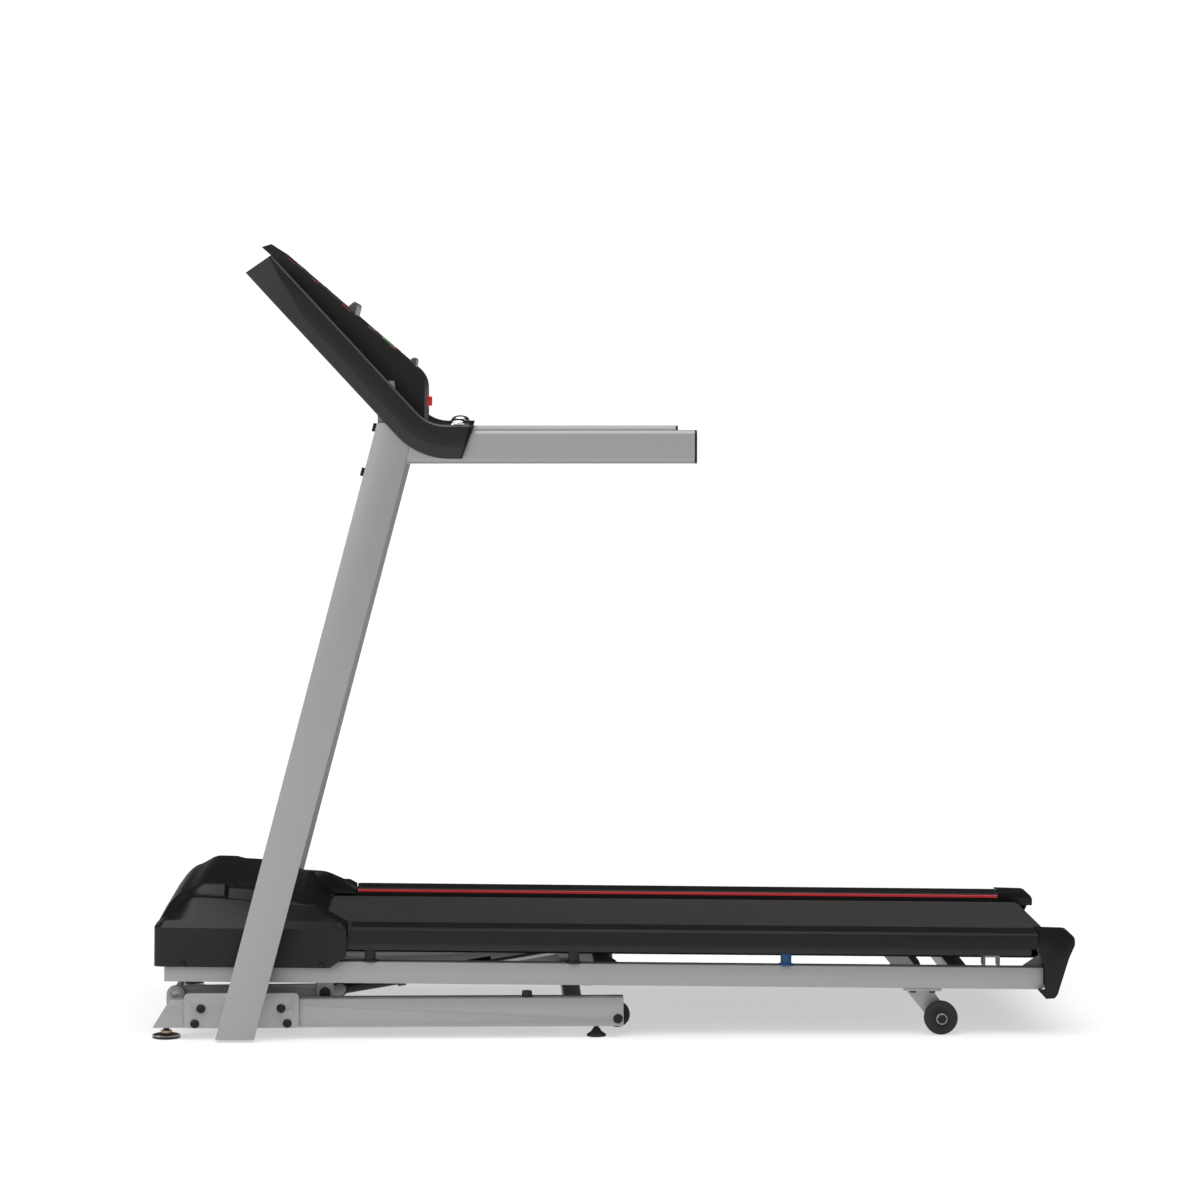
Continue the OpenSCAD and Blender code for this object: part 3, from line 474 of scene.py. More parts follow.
RUBBER = Finish("black_rubber", (0.010, 0.010, 0.010), (0.018, 0.018, 0.018), 0.62, scale=1300,
                depth=0.00005, specular=0.2)
BLUE = Finish("blue_rubber", (0.006, 0.035, 0.10), (0.01, 0.05, 0.13), 0.55)
BELT = Finish("belt_speckled", (0.022, 0.022, 0.022), (0.075, 0.075, 0.075), 0.62, scale=420, depth=0.0001,
              dust=0.3, effect=Effect.WEAVE, specular=0.15)
BOARD = Finish("board_black", (0.008, 0.008, 0.008), (0.016, 0.015, 0.014),
               0.5, effect=Effect.BRUSHED, scale=500)
POLISHED = Finish("polished_rim", (0.62, 0.58, 0.5), (0.7, 0.66, 0.58),
                  0.2, metallic=1.0, effect=Effect.BRUSHED)
BRASS = Finish("zinc_yellow_nut", (0.42, 0.34, 0.2), (0.5, 0.42, 0.27), 0.32, metallic=1.0)
STEEL = Finish("turned_steel", (0.42, 0.42, 0.42), (0.55, 0.55, 0.55),
               0.3, metallic=1.0, effect=Effect.BRUSHED)
PAINT = Finish("black_paint", (0.010, 0.010, 0.010), (0.018, 0.018, 0.018), 0.38)
CIRCUIT = Finish("circuit_green", (0.02, 0.10, 0.04), (0.03, 0.15, 0.06), 0.45)
RAIL = Finish("rail_charcoal", (0.010, 0.010, 0.010), (0.018, 0.018, 0.018), 0.48, scale=1100,
              depth=0.00004, specular=0.16)

FINISH_OF_SLOT = {
    "grey_powder_coat": POWDER, "black_fastener": FASTENER, "cover_plastic": COVER, "face_plastic": FACE,
    "hood_plastic": HOOD, "screen": SCREEN, "ledge_grey": LEDGE, "chrome_dome": CHROME, "red_plastic": RED,
    "green_plastic": GREEN, "black_rubber": RUBBER, "blue_rubber": BLUE, "belt_pvc": BELT,
    "board_wood": BOARD, "foot_metal": POLISHED, "steel": STEEL, "black_paint": PAINT,
    "circuit_green": CIRCUIT, "bush_brass": BRASS, "rail_plastic": RAIL,
}
SLOT_OF = {part["node"]: part["material_slot"] for part in frame["record"]["subparts"]}


def dress(node: str) -> None:
    """Gives a CAD node the finish of its material slot."""
    mesh = frame["nodes"][node].data
    mesh.materials.clear()
    mesh.materials.append(FINISH_OF_SLOT[SLOT_OF[node]].material())
    LOG.info("%s keeps its own shape", node)


def soften(node: str, width: float, segments: int = 2) -> bpy.types.Object:
    """A copy of a CAD node with its hard edges rounded, in place of the node.

    Args:
        node: the CAD node.
        width: how far the rounding reaches from each edge, in millimetres.
        segments: facets across each rounding.

    Returns:
        The new piece.
    """
    bm = bmesh.new()
    bm.from_mesh(frame["nodes"][node].data)
    bmesh.ops.remove_doubles(bm, verts=bm.verts, dist=2e-6)
    bmesh.ops.dissolve_limit(bm, angle_limit=math.radians(0.6), verts=bm.verts, edges=bm.edges)
    for face in bm.faces:
        face.material_index = 0
    obj = object_from(f"{node}_soft", bm, [FINISH_OF_SLOT[SLOT_OF[node]].material()], outward=False)
    bevel = obj.modifiers.new("edges", "BEVEL")
    bevel.width = width * MM
    bevel.segments = segments
    bevel.limit_method = "ANGLE"
    bevel.angle_limit = math.radians(38)
    bevel.use_clamp_overlap = True
    return install(bake(obj, 40), BODY_OF[node], SLOT_OF[node], node)


# ---------------------------------------------------------------- motor hood


@dataclass
class MotorHood:
    """The moulded cover over the drive motor: a skirt, two shoulders and a hump."""

    front: float = -34.0
    mouth: float = 238.0
    rear: float = 280.0
    half: float = 312.0
    corner: float = 15.0
    rim: float = 115.0
    skirt_low: float = 51.0
    crest_y: float = 244.0
    shoulder_y: float = 296.0
    mouth_y: float = 230.0
    wall: float = 2.6

    def centre_line(self, u: float) -> float:
        """Height of the hump along the middle."""
        return curve_at(((-34, 115), (-14, 147), (2, 161), (12, 165), (42, 179), (124, 176), (160, 170),
                         (188, 156), (238, 109)), u)

    def crest_line(self, u: float) -> float:
        """Height of the shoulders' crests."""
        return curve_at(((-34, 115), (-6, 134), (30, 158), (60, 157), (190, 147), (222, 145), (248, 136),
                         (280, 119)), u)

    def height(self, u: float, y: float) -> float:
        """Height of the cover's top surface at a place in plan."""
        a = abs(y)
        centre, crest = self.centre_line(u), self.crest_line(u)
        low_centre = smooth_step((crest - centre + 5) / 12)
        start = mix(196, 226, low_centre)
        end = mix(self.crest_y - 6, 236, low_centre)
        top = mix(centre - 2.5 * (a / 200) ** 2, crest, smooth_step((a - start) / (end - start)))
        top -= self.side_recess(u, a)
        inner_rim = min(126.0, self.rim + 0.9 * (u - self.front), crest)
        if a > self.crest_y + 6:
            top = mix(crest, inner_rim,
                      ((a - self.crest_y - 6) / (self.shoulder_y - self.crest_y - 6)) ** 0.9)
        if a > self.shoulder_y:
            top = mix(inner_rim, self.rim, (a - self.shoulder_y) / (self.half - self.shoulder_y))
        return top

    def side_recess(self, u: float, a: float) -> float:
        """Depth of the scooped panel on each side of the hump."""
        edge = 77 + (16 * ((a - 215) / 50) ** 2 if a < 215 else 4 * ((a - 215) / 20) ** 2)
        inside = smooth_step((u - edge) / 4) * smooth_step((a - 168) / 9) * smooth_step((239 - a) / 6)
        return 6.5 * inside * smooth_step((200 - u) / 60)

    def plan(self, u: float, y: float) -> tuple[float, float]:
        """Rounds the two front corners of the plan."""
        a = (self.front + self.corner - u) / self.corner
        b = (abs(y) - self.half + self.corner) / self.corner
        if a > 0 and b > 0:
            shrink = max(a, b) / math.hypot(a, b)
            u = self.front + self.corner - a * shrink * self.corner
            y = math.copysign(self.half - self.corner + b * shrink * self.corner, y)
        return u, y

    def lower_edge(self, u: float, y: float) -> float:
        """How far down the wall under a boundary point reaches."""
        a = abs(y)
        if u >= self.mouth - 0.1 and a < self.mouth_y + 0.1:
            return 107.0
        if u >= self.rear - 0.1 and a < self.half - 9:
            return 103.0
        return self.skirt_low + 18 * min(max((u - 254) / 23, 0.0), 1.0)

    def build(self) -> bpy.types.Object:
        """Builds the hood's shell, with a matt skirt under a satin top; both are one black plastic, and the
        skirt's lighter black is painted light on the sides.
        """
        us = steps(self.front, 12, 3, 12, 180, 7, 180, self.rear, 4)
        us = sorted(set(us) | {self.mouth, 254.0, 277.0})
        half_ys = steps(0, 192, 9, 192, self.mouth_y, 2.6, self.mouth_y, self.half, 3)
        ys = [-y for y in half_ys[::-1]] + half_ys[1:]
        bm = bmesh.new()
        grid = [[bm.verts.new(deck(*self.plan(u, y), self.height(u, y))) for y in ys] for u in us]
        for i, (a, b) in enumerate(zip(grid, grid[1:])):
            for k in range(len(ys) - 1):
                if us[i] >= self.mouth - 0.1 and max(abs(ys[k]), abs(ys[k + 1])) <= self.mouth_y + 0.1:
                    continue
                bm.faces.new((a[k], b[k], b[k + 1], a[k + 1]))
        where = {v: (u, y) for u, row in zip(us, grid) for y, v in zip(ys, row)}
        bm.edges.ensure_lookup_table()
        border = [e for e in bm.edges if e.is_boundary]
        low: dict[bmesh.types.BMVert, bmesh.types.BMVert] = {}
        for edge in border:
            for v in edge.verts:
                if v not in low:
                    u, y = where[v]
                    px, py = self.plan(u, y)
                    low[v] = bm.verts.new(deck(px, py, self.lower_edge(u, y)))
        # The walls take the lighter black, painted light on the hood's sides.
        for edge in border:
            a, b = edge.verts
            bm.faces.new((a, b, low[b], low[a])).material_index = 1
        for v in [v for v in bm.verts if not v.link_faces]:
            bm.verts.remove(v)
        obj = object_from("hood_shell", bm, [HOOD.material(), SKIRT_PAINTED_LIGHT.material()])
        solid = obj.modifiers.new("wall", "SOLIDIFY")
        solid.thickness = self.wall * MM
        solid.offset = -1
        solid.use_even_offset = False
        return install(bake(obj, 30), "deck", "hood_plastic", "motor_hood")


# ---------------------------------------------------------------- console


@dataclass
class ArmCover:
    """One bent cover from the console's top down to the handrail."""

    side: Side
    drop: float = 1004.0
    tall: float = 55.0
    bend_x: float = -275.0
    bend_low_x: float = -267.5
    bend_r: float = 62.0
    slope: float = math.radians(47.2)
    run: float = 350.0
    end: float = -228.0
    inner: float = 316.0
    outer: float = 355.9
    CREASE = 5
    # The first row of the painted highlight along the upper edge.
    EDGE = 7

    def stations(self) -> list[tuple[tuple[float, float], tuple[float, float], float]]:
        """Pairs of points on the upper and the lower line, with the distance from the tip."""
        centre_z = self.drop + self.bend_r
        lines = ((self.bend_x, self.bend_r), (self.bend_low_x, self.bend_r + self.tall))
        found = []
        for k in range(37):
            part = 1 - k / 37
            pair = [(x - r * math.sin(self.slope) - d * part * math.cos(self.slope),
                     centre_z - r * math.cos(self.slope) + d * part * math.sin(self.slope))
                    for (x, r), d in zip(lines, (self.run - 5, self.run + 8))]
            found.append((pair[0], pair[1], self.run * (1 - part)))
        for k in range(19):
            angle = self.slope * (1 - k / 18)
            pair = [(x - r * math.sin(angle), centre_z - r * math.cos(angle)) for x, r in lines]
            found.append((pair[0], pair[1], self.run + (self.bend_r + 26) * (self.slope - angle)))
        for k in range(1, 7):
            part = k / 6
            top = (mix(self.bend_x, self.end, part), self.drop)
            low = (mix(self.bend_low_x, self.end - 20, part), self.drop - self.tall)
            found.append((top, low, self.run + 72 + 47 * part))
        return found

    def section(self, top: tuple[float, float], low: tuple[float, float], run: float) -> list[Vector]:
        """Points round the cover at one station, from its inner lower corner outwards."""
        crease = curve_at(((0, 0.93), (12, 0.84), (60, 0.63), (115, 0.42), (190, 0.40), (265, 0.38),
                           (430, 0.36)), run)
        tuck = 13 * smooth_step((70 - run) / 70) ** 1.4
        rows = [(0, self.inner), (0, self.outer - 6 - tuck), (0.012, self.outer - 4 - tuck),
                (0.05, self.outer - 2.6 - tuck), (crease * 0.5, self.outer - 1.0 - tuck * 0.55),
                (crease, self.outer - 0.1 * tuck), (mix(crease, 1, 0.55), self.outer - 1.6),
                (0.945, self.outer - 3.0), (0.985, self.outer - 4.6), (1, self.outer - 7), (1, self.inner)]
        return [world(mix(low[0], top[0], f), self.side.value * y, mix(low[1], top[1], f)) for f, y in rows]

    def build(self) -> bpy.types.Object:
        """Builds the cover as one closed shell with two bands, a lighter strip along the upper edge that is a
        painted highlight, and a black end.
        """
        bm = bmesh.new()
        rows = [self.section(*station) for station in self.stations()]
        verts = add_grid(bm, rows, wrap=True)
        for ring in (verts[0], verts[-1]):
            bm.faces.new(ring).material_index = 1
        place = {v: (i, k) for i, ring in enumerate(verts) for k, v in enumerate(ring)}
        for face in bm.faces:
            stations, around = zip(*(place[v] for v in face.verts))
            if len(face.verts) == 4 and max(around) <= self.CREASE:
                face.material_index = 2
            # The rows along the upper edge take the lighter charcoal, a painted highlight.
            elif len(face.verts) == 4 and min(around) >= self.EDGE and max(around) <= self.EDGE + 2:
                face.material_index = 3
            if min(stations) >= len(verts) - 2:
                face.material_index = 1
        name = f"side_cover_{self.side.word}"
        obj = object_from(f"{name}_shell", bm,
                          [COVER.material(), HOOD.material(), COVER_LOW.material(), EDGE.material()])
        finish_mesh(obj.data, 14)
        return install(obj, "base", "cover_plastic", name)


@dataclass
class FaceTrim:
    """Printed dashes and fine lines on the console's face."""

    angle: float = math.radians(40.7)
    top_x: float = -557.0
    top_z: float = 1297.0
    half: float = 288.0

    def at(self, s: float, y: float, out: float) -> Vector:
        """A point at a distance down the slope and out of the face."""
        return world(self.top_x + s * math.cos(self.angle) + out * math.sin(self.angle), y,
                     self.top_z - s * math.sin(self.angle) + out * math.cos(self.angle))

    def bar(self, bm: bmesh.types.BMesh, s0: float, s1: float,
            y0: float, y1: float, material: int = 0) -> None:
        """Adds one thin raised bar."""
        push = self.at(0, 0, 0.5) - self.at(0, 0, -0.4)
        ring = [self.at(s, y, -0.4) for s, y in ((s0, y0), (s1, y0), (s1, y1), (s0, y1))]
        add_prism(bm, ring, push, material)

    def build(self) -> None:
        """Builds the red dashes along both edges and the silver lines round the screen."""
        bm = bmesh.new()
        for sign in (-1, 1):
            for s0, s1 in ((34, 48), (86, 98), (150, 168), (206, 212), (252, 262)):
                self.bar(bm, s0, s1, sign * self.half, sign * (self.half - 26))
            self.bar(bm, 146, 149, sign * 40, sign * 150)
        install(object_from("face_dashes", bm, [STRIPE.material()]), "base", "red_plastic")
        bm = bmesh.new()
        for s0, s1, y0, y1 in ((42, 43.4, -124, 124), (140.6, 142, -124, 124), (42, 142, -124, -122.6),
                               (42, 142, 122.6, 124)):
            self.bar(bm, s0, s1, y0, y1)
        install(object_from("screen_lines", bm, [LEDGE.material()]), "base", "ledge_grey")


# ---------------------------------------------------------------- foot rails, tail and feet


class RibTree:
    """A Geometry Nodes tree that lays equal ribs side by side along a deck rail."""

    @staticmethod
    def tree() -> bpy.types.GeometryNodeTree:
        """Builds the tree once: a box per rib, repeated across by its pitch."""
        if "rib_array" in bpy.data.node_groups:
            return bpy.data.node_groups["rib_array"]
        tree = bpy.data.node_groups.new("rib_array", "GeometryNodeTree")
        for name, kind in (("Geometry", "NodeSocketGeometry"), ("Length", "NodeSocketFloat"),
                           ("Width", "NodeSocketFloat"), ("Height", "NodeSocketFloat"),
                           ("Pitch", "NodeSocketFloat"), ("Count", "NodeSocketInt"),
                           ("Finish", "NodeSocketMaterial")):
            tree.interface.new_socket(name=name, in_out="INPUT", socket_type=kind)
        tree.interface.new_socket(name="Geometry", in_out="OUTPUT", socket_type="NodeSocketGeometry")
        nodes, link = tree.nodes, tree.links.new
        entry, leave = nodes.new("NodeGroupInput"), nodes.new("NodeGroupOutput")
        size = nodes.new("ShaderNodeCombineXYZ")
        box = nodes.new("GeometryNodeMeshCube")
        line = nodes.new("GeometryNodeMeshLine")
        step = nodes.new("ShaderNodeCombineXYZ")
        place = nodes.new("GeometryNodeInstanceOnPoints")
        real = nodes.new("GeometryNodeRealizeInstances")
        paint = nodes.new("GeometryNodeSetMaterial")
        link(entry.outputs["Length"], size.inputs["X"])
        link(entry.outputs["Width"], size.inputs["Y"])
        link(entry.outputs["Height"], size.inputs["Z"])
        link(size.outputs["Vector"], box.inputs["Size"])
        link(entry.outputs["Count"], line.inputs["Count"])
        link(entry.outputs["Pitch"], step.inputs["Y"])
        link(step.outputs["Vector"], line.inputs["Offset"])
        link(line.outputs["Mesh"], place.inputs["Points"])
        link(box.outputs["Mesh"], place.inputs["Instance"])
        link(place.outputs["Instances"], real.inputs["Geometry"])
        link(real.outputs["Geometry"], paint.inputs["Geometry"])
        link(entry.outputs["Finish"], paint.inputs["Material"])
        link(paint.outputs["Geometry"], leave.inputs["Geometry"])
        return tree

    @staticmethod
    def run(name: str, place: Matrix, **values: object) -> bpy.types.Object:
        """Runs the tree and returns a plain object.

        Args:
            name: the piece's name.
            place: where the ribs' first middle point goes, in metres.
            values: one value for each named input.

        Returns:
            The baked object at the origin.
        """
        tree = RibTree.tree()
        obj = bpy.data.objects.new(name, bpy.data.meshes.new(name))
        bpy.context.scene.collection.objects.link(obj)
        holder = obj.modifiers.new("ribs", "NODES")
        holder.node_group = tree
        for item in tree.interface.items_tree:
            if item.in_out == "INPUT" and item.name in values:
                holder[item.identifier] = values[item.name]
        made = bake(obj)
        made.data.transform(place)
        return made


@dataclass
class FootRail:
    """A rail to stand on: its ribbed top and the red line along its inner side."""

    side: Side
    start: float = 284.0
    end: float = 1414.0
    inner: float = 230.0
    top: float = 118.0
    ribs: int = 7
    rib_pitch: float = 8.6

    def build(self) -> None:
        """Builds the softened rail, its ribs and its red line."""
        node = f"foot_rail_{self.side.word}"
        soften(node, 0.7)
        turn = Matrix.Rotation(DECK_TILT, 4, "Y")
        middle = (self.start + self.end) / 2
        first = self.inner + 12
        low_y = first if self.side is Side.RIGHT else -first - (self.ribs - 1) * self.rib_pitch
        place = Matrix.Translation(deck(middle, low_y, self.top)) @ turn
        ribs = RibTree.run(f"{node}_ribs", place, Length=(self.end - self.start - 8) * MM, Width=4.6 * MM,
                           Height=1.6 * MM, Pitch=self.rib_pitch * MM,
                            Count=self.ribs, Finish=RAIL.material())
        install(ribs, "deck", "rail_plastic")
        bm = bmesh.new()
        s = self.side.value
        rows = [(self.inner + 0.4, self.top - 7.2), (self.inner - 0.5, self.top - 7.0),
                (self.inner - 0.5, self.top - 3.2), (self.inner + 1.4, self.top - 0.6)]
        outline = [deck(self.start - 1, s * y, w) for y, w in rows]
        add_prism(bm, outline, deck(self.end, 0, 0) - deck(self.start - 1, 0, 0))
        install(object_from(f"{node}_line", bm, [STRIPE.material()]), "deck", "red_plastic")


@dataclass
class TurnedFeet:
    """The front levelling feet and the bell feet at the floor frame's rear."""

    def build(self) -> None:
        """Builds both pairs in place of their CAD nodes."""
        for node in ("levelling_feet", "rear_feet"):
            low, high = (Vector(c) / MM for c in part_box(node))
            radius = (high.x - low.x) / 2
            middle_x, middle_y = low.x + radius, high.y - radius
            bm = bmesh.new()
            for sign in (-1, 1):
                def place(a: float, b: float, z: float, sign: int = sign) -> Vector:
                    return world(middle_x + a, sign * middle_y + b, z)
                if node == "levelling_feet":
                    add_turned(bm, ((0, 0), (radius - 1.5, 0), (radius, 1.4),
                                    (radius, 2.6), (radius - 1, 3.2),
                                    (0, 3.2)), place)
                    add_turned(bm, ((0, 3.1), (radius - 1.2, 3.1), (radius - 0.4, 3.8), (radius - 0.6, 5.4),
                                    (radius - 2.4, 6.2), (0, 6.2)), place, 1)
                    add_turned(bm, ((0, 6.1), (radius - 4, 6.1), (radius - 9, 7.8), (0, 7.8)), place)
                    add_turned(bm, ((0, 7.7), (9, 7.7), (9.6, 8.3), (9.6, 12.2),
                                    (9, 12.8), (0, 12.8)), place, 2, 6)
                    add_turned(bm, ((0, 12.7), (5, 12.7), (5, high.z), (0, high.z)), place)
                else:
                    bell = [(14.5 - 8 * math.sin(math.radians(k * 9)), 4 + 0.8 * k) for k in range(11)]
                    add_turned(bm, [(0, 0), (15.4, 0), (16, 0.8), (16, 2.2), (15, 3)] + bell
                               + [(5, 13.4), (4, 13.6), (4, high.z), (0, high.z)], place)
            slots = [FASTENER.material(), POLISHED.material(), BRASS.material()]
            if node == "rear_feet":
                slots = [RUBBER.material()]
            install(object_from(f"{node}_turned", bm, slots), "base", SLOT_OF[node], node)


@dataclass
class Wheel:
    """A wheel with a stepped tyre, a web and a hub."""

    node: str
    bore: float

    def build(self) -> None:
        """Builds the wheel about its own axis in place of its CAD node."""
        low, high = (Vector(c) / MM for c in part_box(self.node))
        radius, half = (high.z - low.z) / 2, (high.y - low.y) / 2
        cx, cy, cz = (low.x + high.x) / 2, (low.y + high.y) / 2, (low.z + high.z) / 2

        def place(a: float, b: float, along: float) -> Vector:
            return world(cx + a, cy + along, cz + b)

        tread = [(self.bore, -half), (9, -half), (9.6, -half + 0.6),
                 (9.6, -half + 1.6), (radius * 0.56, -half + 1.6),
                 (radius * 0.6, -half + 1), (radius - 4, -half + 1.2), (radius - 1.2, -half + 2.6),
                 (radius, -half + 5)]
        profile = tread + [(r, -a) for r, a in tread[::-1]] + [tread[0]]
        bm = bmesh.new()
        add_turned(bm, profile, place, 0, 64)
        install(object_from(f"{self.node}_tyre", bm, [RUBBER.material()]), BODY_OF[self.node], "black_rubber",
                self.node)


@dataclass
class AxleNuts:
    """Black hexagon nuts on the outer ends of the rear wheels' axles."""

    across: float = 8.6
    tall: float = 5.0

    def build(self) -> None:
        """Builds both nuts."""
        bm = bmesh.new()
        arms_low, arms_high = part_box("wheel_arms")
        for side in Side:
            low, high = (Vector(c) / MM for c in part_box(f"rear_wheel_{side.word}"))
            cx, cz = (low.x + high.x) / 2, (low.z + high.z) / 2
            face = low.y if side is Side.LEFT else high.y
            end = (arms_low[1] if side is Side.LEFT else arms_high[1]) / MM
            tip = side.value * (max(abs(end), abs(face) + self.tall) + 0.8)

            def place(a: float, b: float, along: float) -> Vector:
                return world(cx + a, along, cz + b)

            start = face + side.value * 0.4
            add_turned(bm, ((0, start), (self.across, start), (self.across, tip - side.value),
                           (self.across - 1.4, tip),
                            (0, tip)), place, 0, 6)
        install(object_from("axle_nuts", bm, [FASTENER.material()]), "deck", "black_fastener")


class PulseDomes:
    """The polished domes on the arms, each on a thin flange."""

    def build(self) -> None:
        """Builds both domes in place of their CAD node."""
        low, high = (Vector(c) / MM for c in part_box("pulse_sensors"))
        radius = (high.x - low.x) / 2
        middle_x, middle_y = low.x + radius, high.y - radius
        bm = bmesh.new()
        rise = high.z - low.z - 2
        for sign in (-1, 1):

            def place(a: float, b: float, z: float, sign: int = sign) -> Vector:
                return world(middle_x + a, sign * middle_y + b, low.z + z)

            dome = [((radius - 1.5) * math.cos(math.radians(9 * k)), 2 + rise * math.sin(math.radians(9 * k)))
                    for k in range(10)]
            add_turned(bm, [(0, 0), (radius, 0), (radius, 1.4), (radius - 0.6, 2)]
                       + dome + [(0, 2 + rise)], place)
        install(object_from("pulse_domes", bm, [CHROME.material()]), "base", "chrome_dome", "pulse_sensors")


class HeadTree:
    """A Geometry Nodes tree that sets a button head with a dark hexagon on every point; the hexagon is
    painted shade standing for the hollow of the head's socket.
    """

    @staticmethod
    def tree() -> bpy.types.GeometryNodeTree:
        """Builds the tree once."""
        if "button_heads" in bpy.data.node_groups:
            return bpy.data.node_groups["button_heads"]
        tree = bpy.data.node_groups.new("button_heads", "GeometryNodeTree")
        for name, kind in (("Geometry", "NodeSocketGeometry"), ("Radius", "NodeSocketFloat"),
                           ("Height", "NodeSocketFloat"), ("Socket", "NodeSocketFloat"),
                           ("Turn", "NodeSocketVector"), ("Finish", "NodeSocketMaterial"),
                           ("Socket Finish", "NodeSocketMaterial")):
            tree.interface.new_socket(name=name, in_out="INPUT", socket_type=kind)
        tree.interface.new_socket(name="Geometry", in_out="OUTPUT", socket_type="NodeSocketGeometry")
        nodes, link = tree.nodes, tree.links.new
        entry, leave = nodes.new("NodeGroupInput"), nodes.new("NodeGroupOutput")
        skirt, dome, hexagon = (nodes.new("GeometryNodeMeshCone") for _ in range(3))
        skirt.inputs["Vertices"].default_value = dome.inputs["Vertices"].default_value = 32
        hexagon.inputs["Vertices"].default_value = 6
        narrow, low, high, proud = (nodes.new("ShaderNodeMath") for _ in range(4))
        for node, factor in ((narrow, 0.86), (low, 0.62), (high, 0.38), (proud, 1.03)):
            node.operation = "MULTIPLY"
            node.inputs[1].default_value = factor
        link(entry.outputs["Radius"], narrow.inputs[0])
        for node in (low, high, proud):
            link(entry.outputs["Height"], node.inputs[0])
        tip = nodes.new("ShaderNodeMath")
        tip.operation = "MULTIPLY"
        tip.inputs[1].default_value = 0.6
        link(entry.outputs["Radius"], tip.inputs[0])
        link(entry.outputs["Radius"], skirt.inputs["Radius Bottom"])
        link(narrow.outputs[0], skirt.inputs["Radius Top"])
        link(low.outputs[0], skirt.inputs["Depth"])
        link(narrow.outputs[0], dome.inputs["Radius Bottom"])
        link(tip.outputs[0], dome.inputs["Radius Top"])
        link(high.outputs[0], dome.inputs["Depth"])
        for name in ("Radius Bottom", "Radius Top"):
            link(entry.outputs["Socket"], hexagon.inputs[name])
        link(proud.outputs[0], hexagon.inputs["Depth"])
        raise_dome = nodes.new("GeometryNodeTransform")
        lift = nodes.new("ShaderNodeCombineXYZ")
        link(low.outputs[0], lift.inputs["Z"])
        link(lift.outputs["Vector"], raise_dome.inputs["Translation"])
        link(dome.outputs["Mesh"], raise_dome.inputs["Geometry"])
        join_head, join_all = nodes.new("GeometryNodeJoinGeometry"), nodes.new("GeometryNodeJoinGeometry")
        paint_head, paint_socket = nodes.new("GeometryNodeSetMaterial"), nodes.new("GeometryNodeSetMaterial")
        link(skirt.outputs["Mesh"], join_head.inputs["Geometry"])
        link(raise_dome.outputs["Geometry"], join_head.inputs["Geometry"])
        link(join_head.outputs["Geometry"], paint_head.inputs["Geometry"])
        link(entry.outputs["Finish"], paint_head.inputs["Material"])
        link(hexagon.outputs["Mesh"], paint_socket.inputs["Geometry"])
        link(entry.outputs["Socket Finish"], paint_socket.inputs["Material"])
        link(paint_head.outputs["Geometry"], join_all.inputs["Geometry"])
        link(paint_socket.outputs["Geometry"], join_all.inputs["Geometry"])
        place = nodes.new("GeometryNodeInstanceOnPoints")
        real = nodes.new("GeometryNodeRealizeInstances")
        link(entry.outputs["Geometry"], place.inputs["Points"])
        link(join_all.outputs["Geometry"], place.inputs["Instance"])
        link(entry.outputs["Turn"], place.inputs["Rotation"])
        link(place.outputs["Instances"], real.inputs["Geometry"])
        link(real.outputs["Geometry"], leave.inputs["Geometry"])
        return tree

    @staticmethod
    def run(name: str, points: Sequence[Vector], turn: tuple[float, float, float], radius: float,
            height: float, socket: float) -> bpy.types.Object:
        """Sets heads on points.

        Args:
            name: the piece's name.
            points: where each head stands, in metres.
            turn: the turn that takes +Z to the heads' outward direction, in radians.
            radius: the head's radius in millimetres.
            height: the head's height in millimetres.
            socket: the hexagon's radius in millimetres.

        Returns:
            The baked object.
        """
        tree = HeadTree.tree()
        mesh = bpy.data.meshes.new(name)
        mesh.from_pydata([tuple(p) for p in points], [], [])
        obj = bpy.data.objects.new(name, mesh)
        bpy.context.scene.collection.objects.link(obj)
        holder = obj.modifiers.new("heads", "NODES")
        holder.node_group = tree
        # The hexagon takes the hood's near-black, painted shade for the socket's hollow.
        values = {"Radius": radius * MM, "Height": height * MM, "Socket": socket * MM, "Turn": turn,
                  "Finish": FASTENER.material(), "Socket Finish": HOOD.material()}
        for item in tree.interface.items_tree:
            if item.in_out == "INPUT" and item.name in values:
                holder[item.identifier] = values[item.name]
        return bake(obj)


@dataclass
class Fasteners:
    """Heads that stand on the CAD's own bolts."""

    outer: float = 320.0
    plate_bolts: Outline = ((44, 51), (34, 26), (175, 51), (185, 26))

    def build(self) -> None:
        """Builds the heads of the upright plates' bolts on both sides."""
        dress("frame_bolts")
        pivot_x = PIVOT.x / MM
        for side in Side:
            points = [world(pivot_x + a, side.value * self.outer, z) for a, z in self.plate_bolts]
            turn = (math.radians(90) * (1 if side is Side.LEFT else -1), 0, 0)
            heads = HeadTree.run(f"plate_bolt_heads_{side.word}", points, turn, 7.4, 5.0, 2.9)
            install(heads, "base", "black_fastener")


# ---------------------------------------------------------------- stage


